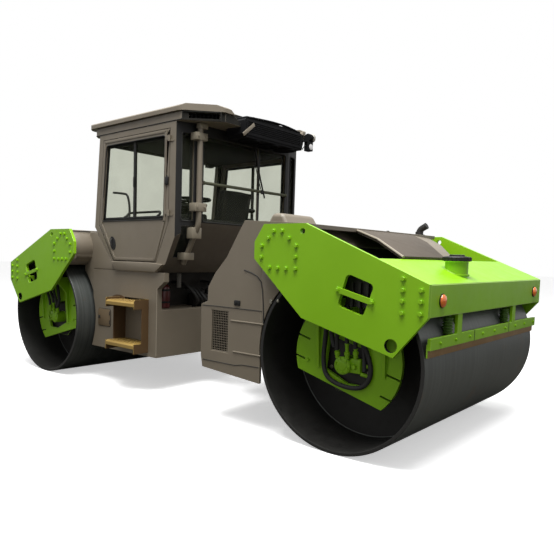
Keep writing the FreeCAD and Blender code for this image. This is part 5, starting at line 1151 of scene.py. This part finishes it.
def seat_shape(name, corners, wide, crown):
    """A cushion's starting block from its side outline: extruded, cut into a grid and rounded."""
    piece = cut_sheet(name, [(x, -wide, z) for x, z in corners], (0, 2 * wide, 0))
    soften(piece, 0.03, 3, angle=40)
    only(piece)
    finer = piece.modifiers.new("remesh", "REMESH")
    finer.mode = "VOXEL"
    finer.voxel_size = 0.012
    bpy.ops.object.modifier_apply(modifier="remesh")
    centre = sum((vertex.co for vertex in piece.data.vertices), Vector()) / len(piece.data.vertices)
    reach = piece.dimensions / 2
    for vertex in piece.data.vertices:
        away = vertex.co - centre
        side = (away.x / reach.x, away.y / reach.y, away.z / reach.z)
        # The middle of each broad face is crowned, and the middle of each edge pulls in.
        swell = (1 - min(abs(side[1]), 1) ** 2) * crown
        vertex.co += Vector((swell * side[0] * 0.5, -0.012 * side[1] * (1 - min(abs(side[0]), 1) ** 2),
                             swell * side[2] * 0.5))
    return piece


def seat_parts():
    """Driver's seat: moulded base and sprung box, two sewn cushions with piped seams."""
    x, z = 0.330, 1.640
    cushion = seat_shape("seat_cushion", [(x - 0.185, z - 0.115), (x + 0.255, z - 0.108), (x + 0.265, z - 0.012),
                                          (x - 0.175, z - 0.037)], 0.212, 0.02)
    back = seat_shape("seat_back", [(x - 0.248, z - 0.07), (x - 0.170, z - 0.06), (x - 0.222, z + 0.285),
                                    (x - 0.242, z + 0.305), (x - 0.295, z + 0.305), (x - 0.310, z + 0.285)],
                      0.212, 0.02)
    for piece in (cushion, back):
        inflate(piece, 0.014)
        only(piece)
        smoother = piece.modifiers.new("smooth", "SMOOTH")
        smoother.iterations = 4
        bpy.ops.object.modifier_apply(modifier="smooth")
        finish(piece, "seat_fabric", "front_frame")
    frame_parts = [soften(slab("box", (x - 0.095, -0.16, 1.181), (x + 0.18, 0.16, z - 0.17)), 0.02, 3),
                   soften(slab("pan", (x - 0.19, -0.20, z - 0.165), (x + 0.25, 0.20, z - 0.118)), 0.015, 3),
                   soften(cut_sheet("shell", [(x - 0.262, -0.20, z - 0.09), (x - 0.245, -0.20, z - 0.09),
                                              (x - 0.30, -0.20, z + 0.29), (x - 0.322, -0.20, z + 0.29)],
                                    (0, 0.40, 0)), 0.008, 2)]
    holder = finish(join("seat_frame", frame_parts), "black_plastic", "front_frame")
    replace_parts(holder, "seat")
    seams = []
    for y in (-0.12, 0.12):
        seams.append(strip("seam", [(x - 0.12, y, z - 0.018), (x + 0.06, y, z + 0.002), (x + 0.22, y, z + 0.004)],
                           0.004))
        seams.append(strip("seam", [(x - 0.178, y, z + 0.02), (x - 0.196, y, z + 0.14), (x - 0.214, y, z + 0.25)],
                           0.004))
    finish(join("seat_piping", seams), "seat_fabric", "front_frame", "rubber")


def inflate(piece, most):
    """Swells a pad with cloth under pressure, no point further than a cap, and settles it in the mesh."""
    start = [vertex.co.copy() for vertex in piece.data.vertices]
    only(piece)
    cloth = piece.modifiers.new("cloth", "CLOTH")
    cloth.settings.use_pressure = True
    cloth.settings.uniform_pressure_force = 4
    cloth.settings.effector_weights.gravity = 0
    for step in range(1, 21):
        bpy.context.scene.frame_set(step)
    bpy.ops.object.modifier_apply(modifier="cloth")
    for vertex, first in zip(piece.data.vertices, start):
        away = vertex.co - first
        if away.length > most:
            vertex.co = first + away.normalized() * most
    bpy.context.scene.frame_set(1)


# The front body's own pieces
def step_parts():
    """Pressed rings on the treads, a dark sheet of painted shade for the toe pressing over the upper one, and the
    door sill.
    """
    rings = []
    for level in (0.4672, 0.8552):
        for i in range(8):
            for y in (0.905, 0.965, 1.012):
                x = 0.355 + i * 0.049
                rings.append((x, y, level))
    ring = lathe("ring", [(0.012, 0), (0.0145, 0.003), (0.012, 0.005), (0.009, 0.003), (0.009, 0)], (0, 0, 0),
                 (0, 0, 1), 10)
    both_sides(repeat(ring, "tread_rings", rings), "step_paint", "front_frame")
    # A dark sheet over the upper tread for the toe pressing: painted shade.
    toe = [(0.765 + 0.105 * math.cos(turn), 0.8795, 0.857 + 0.036 * math.sin(turn))
           for turn in [i * math.pi / 14 for i in range(15)]]
    both_sides(cut_sheet("toe_recess_shade", toe, (0, 0.004, 0)), "dark_steel", "front_frame", "step_shaded")
    sill = [(0.096, 1.208), (0.200, 1.132), (0.800, 1.132), (0.874, 1.217), (0.60, 1.219), (0.30, 1.219)]
    sill = cut_sheet("door_sill", [(x, 0.876, z) for x, z in sill], (0, 0.028, 0))
    both_sides(soften(sill, 0.007, 3), "grey_paint", "front_frame")


def hatch_parts():
    outline = round_corners([(0.893, 0.8795, 0.562), (1.101, 0.8795, 0.562), (1.101, 0.8795, 0.735),
                             (0.893, 0.8795, 0.735)], 0.02)
    hatch = soften(cut_sheet("hatch", outline, (0, 0.007, 0)), 0.002, 2)
    both_sides(hatch, "step_paint", "front_frame", "hatch_brown")
    both_sides(strip("hatch_gap", [(x, 0.8805, z) for x, y, z in outline], 0.005, True), "dark_steel",
               "front_frame", "rubber")
    knuckles = [bar("hinge", (0.905, 0.886, z), (0.905, 0.886, z + 0.04), 0.006, 12) for z in (0.585, 0.675)]
    knuckles.append(soften(slab("catch", (1.065, 0.884, 0.635), (1.090, 0.893, 0.665)), 0.003, 2))
    both_sides(join("hatch_hinges", knuckles), "dark_steel", "front_frame")
    # A light bead down the front panel's rear fold: painted highlight.
    line = [(0.19, 0.8805, 0.985), (0.19, 0.8805, 0.36)]
    both_sides(strip("rear_fold_highlight", line, 0.003), "grey_paint", "front_frame", "grey_highlight")


def extinguisher_parts():
    x, y, z = 0.372, 0.640, 0.780
    bottle = lathe("bottle", [(0, 0.004), (0.052, 0), (0.060, 0.008), (0.061, 0.02), (0.061, 0.185),
                              (0.055, 0.208), (0.035, 0.226), (0.018, 0.232), (0.018, 0.24), (0, 0.24)],
                   (x, y, z), (0, 0, 1), 40)
    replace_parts(finish(bottle, "red_paint", "front_frame"), "fire_extinguisher")
    head = [lathe("valve", [(0.020, 0.236), (0.022, 0.24), (0.022, 0.252), (0.014, 0.256), (0.014, 0.268),
                            (0, 0.268)], (x, y, z), (0, 0, 1), 20),
            soften(slab("lever", (x - 0.055, y - 0.009, z + 0.256), (x + 0.02, y + 0.009, z + 0.262)), 0.002, 1),
            soften(slab("carry", (x - 0.06, y - 0.009, z + 0.240), (x + 0.01, y + 0.009, z + 0.246)), 0.002, 1),
            hose("nozzle_hose", [(x + 0.015, y, z + 0.248), (x + 0.04, y + 0.01, z + 0.25),
                                 (x + 0.066, y + 0.02, z + 0.225), (x + 0.070, y + 0.022, z + 0.14),
                                 (x + 0.069, y + 0.022, z + 0.07)], 0.007),
            bar("nozzle", (x + 0.069, y + 0.022, z + 0.075), (x + 0.069, y + 0.022, z + 0.03), 0.009, 16, 0.013)]
    for level in (0.05, 0.165):
        head.append(lathe("band", [(0.0612, 0), (0.0632, 0.002), (0.0632, 0.018), (0.0612, 0.020)],
                          (x, y, z + level), (0, 0, 1), 36))
    finish(join("extinguisher_fittings", head), "black_plastic", "front_frame")


def bay_parts():
    """Hoses, valve block and a coil of grey conduit in the bay behind the cab."""
    lines = []
    for i, (y, radius) in enumerate(((0.42, 0.016), (0.33, 0.013), (0.24, 0.016), (0.02, 0.013), (-0.10, 0.016),
                                     (-0.30, 0.014), (-0.40, 0.016))):
        drop = 0.03 * (i % 3)
        lines.append(hose("hose", [(0.50, y, 1.02 - drop), (0.42, y, 1.03 - drop), (0.30, y * 0.96, 1.0 - drop),
                                   (0.235, y * 0.85, 0.92 - drop), (0.245, y * 0.72, 0.84), (0.30, y * 0.68, 0.80),
                                   (0.34, y * 0.66, 0.775)], radius))
    finish(join("bay_hoses", lines), "dark_steel", "front_frame", "rubber")
    valves = [soften(slab("valves", (0.36, -0.22, 0.782), (0.50, 0.20, 0.90)), 0.01, 2)]
    for i in range(5):
        y = -0.17 + i * 0.08
        valves.append(lathe("coil", [(0.022, 0), (0.026, 0.004), (0.026, 0.04), (0.012, 0.045), (0.012, 0.06),
                                     (0, 0.06)], (0.42, y, 0.898), (0, 0, 1), 20))
    finish(join("valve_bank", valves), "dark_steel", "front_frame")
    rings = []
    for i in range(11):
        low = i * 0.0125
        rings += [(0.017, low), (0.023, low + 0.004), (0.023, low + 0.008)]
    conduit = lathe("conduit", rings, (0.235, 0.570, 0.985), (-0.05, 0.05, 1), 20)
    finish(conduit, "black_plastic", "front_frame", "hose_grey")


add_camera()
finish_nodes()
dress_frame()
plate_fastenings()
flank_parts()
drum_drive()
scraper_parts()
tank_parts()
lamp_parts()
cover_parts()
hood_parts()
grille_parts()
exhaust_parts()
door_parts()
rear_window_parts()
post_parts()
roof_parts()
cab_inside()
seat_parts()
step_parts()
hatch_parts()
extinguisher_parts()
bay_parts()


def add_light(name, place, aim, size, power):
    data = bpy.data.lights.new(name, "AREA")
    data.shape = "SQUARE"
    data.size = size
    data.energy = power
    lamp = bpy.data.objects.new(name, data)
    lamp.location = place
    lamp.rotation_euler = (Vector(aim) - Vector(place)).to_track_quat("-Z", "Y").to_euler()
    bpy.context.scene.collection.objects.link(lamp)


def seen_white(tree, path):
    """White to the camera; behind a pane, the hazy sky that the photograph keeps there."""
    behind = add_node(tree, "Math", {1: 0.5}, {0: path.outputs["Transparent Depth"]}, operation="GREATER_THAN")
    tone = add_node(tree, "Mix", {6: (1, 1, 1, 1), 7: linear("#E7EBDA")}, {0: behind.outputs[0]}, data_type="RGBA")
    return tone.outputs[2]


def set_studio():
    """Pale floor, soft overhead light and an even sky."""
    bpy.ops.object.select_all(action="DESELECT")
    bpy.ops.mesh.primitive_plane_add(size=120, location=(0, 0, 0))
    floor = bpy.context.object
    floor.name = "floor"
    material, tree, shader = start_material("studio floor", Roughness=0.9, Specular_IOR_Level=0.1)
    path = add_node(tree, "LightPath")
    seen = path.outputs["Is Camera Ray"]
    white = seen_white(tree, path)
    tone = add_node(tree, "Mix", {6: linear("#5A5853")}, {0: seen, 7: white}, data_type="RGBA")
    glow = add_node(tree, "Math", {1: 0.5}, {0: seen}, operation="MULTIPLY")
    tree.links.new(tone.outputs[2], shader.inputs["Base Color"])
    tree.links.new(white, shader.inputs["Emission Color"])
    tree.links.new(glow.outputs[0], shader.inputs["Emission Strength"])
    floor.data.materials.append(material)
    world = bpy.data.worlds.new("sky")
    bpy.context.scene.world = world
    world.use_nodes = True
    sky = world.node_tree
    path = add_node(sky, "LightPath")
    seen = add_node(sky, "Math", links={0: path.outputs["Is Camera Ray"], 1: path.outputs["Is Glossy Ray"]},
                    operation="MAXIMUM")
    seen = add_node(sky, "Math", links={0: seen.outputs[0], 1: path.outputs["Is Transmission Ray"]},
                    operation="MAXIMUM")
    strength = add_node(sky, "Mix", {2: 0.42, 3: 0.85}, {0: seen.outputs[0]})
    sky.links.new(seen_white(sky, path), sky.nodes["Background"].inputs["Color"])
    seen = add_node(sky, "Mix", {3: 1.0}, {0: path.outputs["Is Camera Ray"], 2: strength.outputs[0]})
    sky.links.new(seen.outputs[0], sky.nodes["Background"].inputs["Strength"])
    add_light("overhead softbox", (-1.5, 2.0, 9.0), (0, 0, 1), 6, 1600)
    bpy.context.scene.view_settings.view_transform = "Standard"


set_studio()
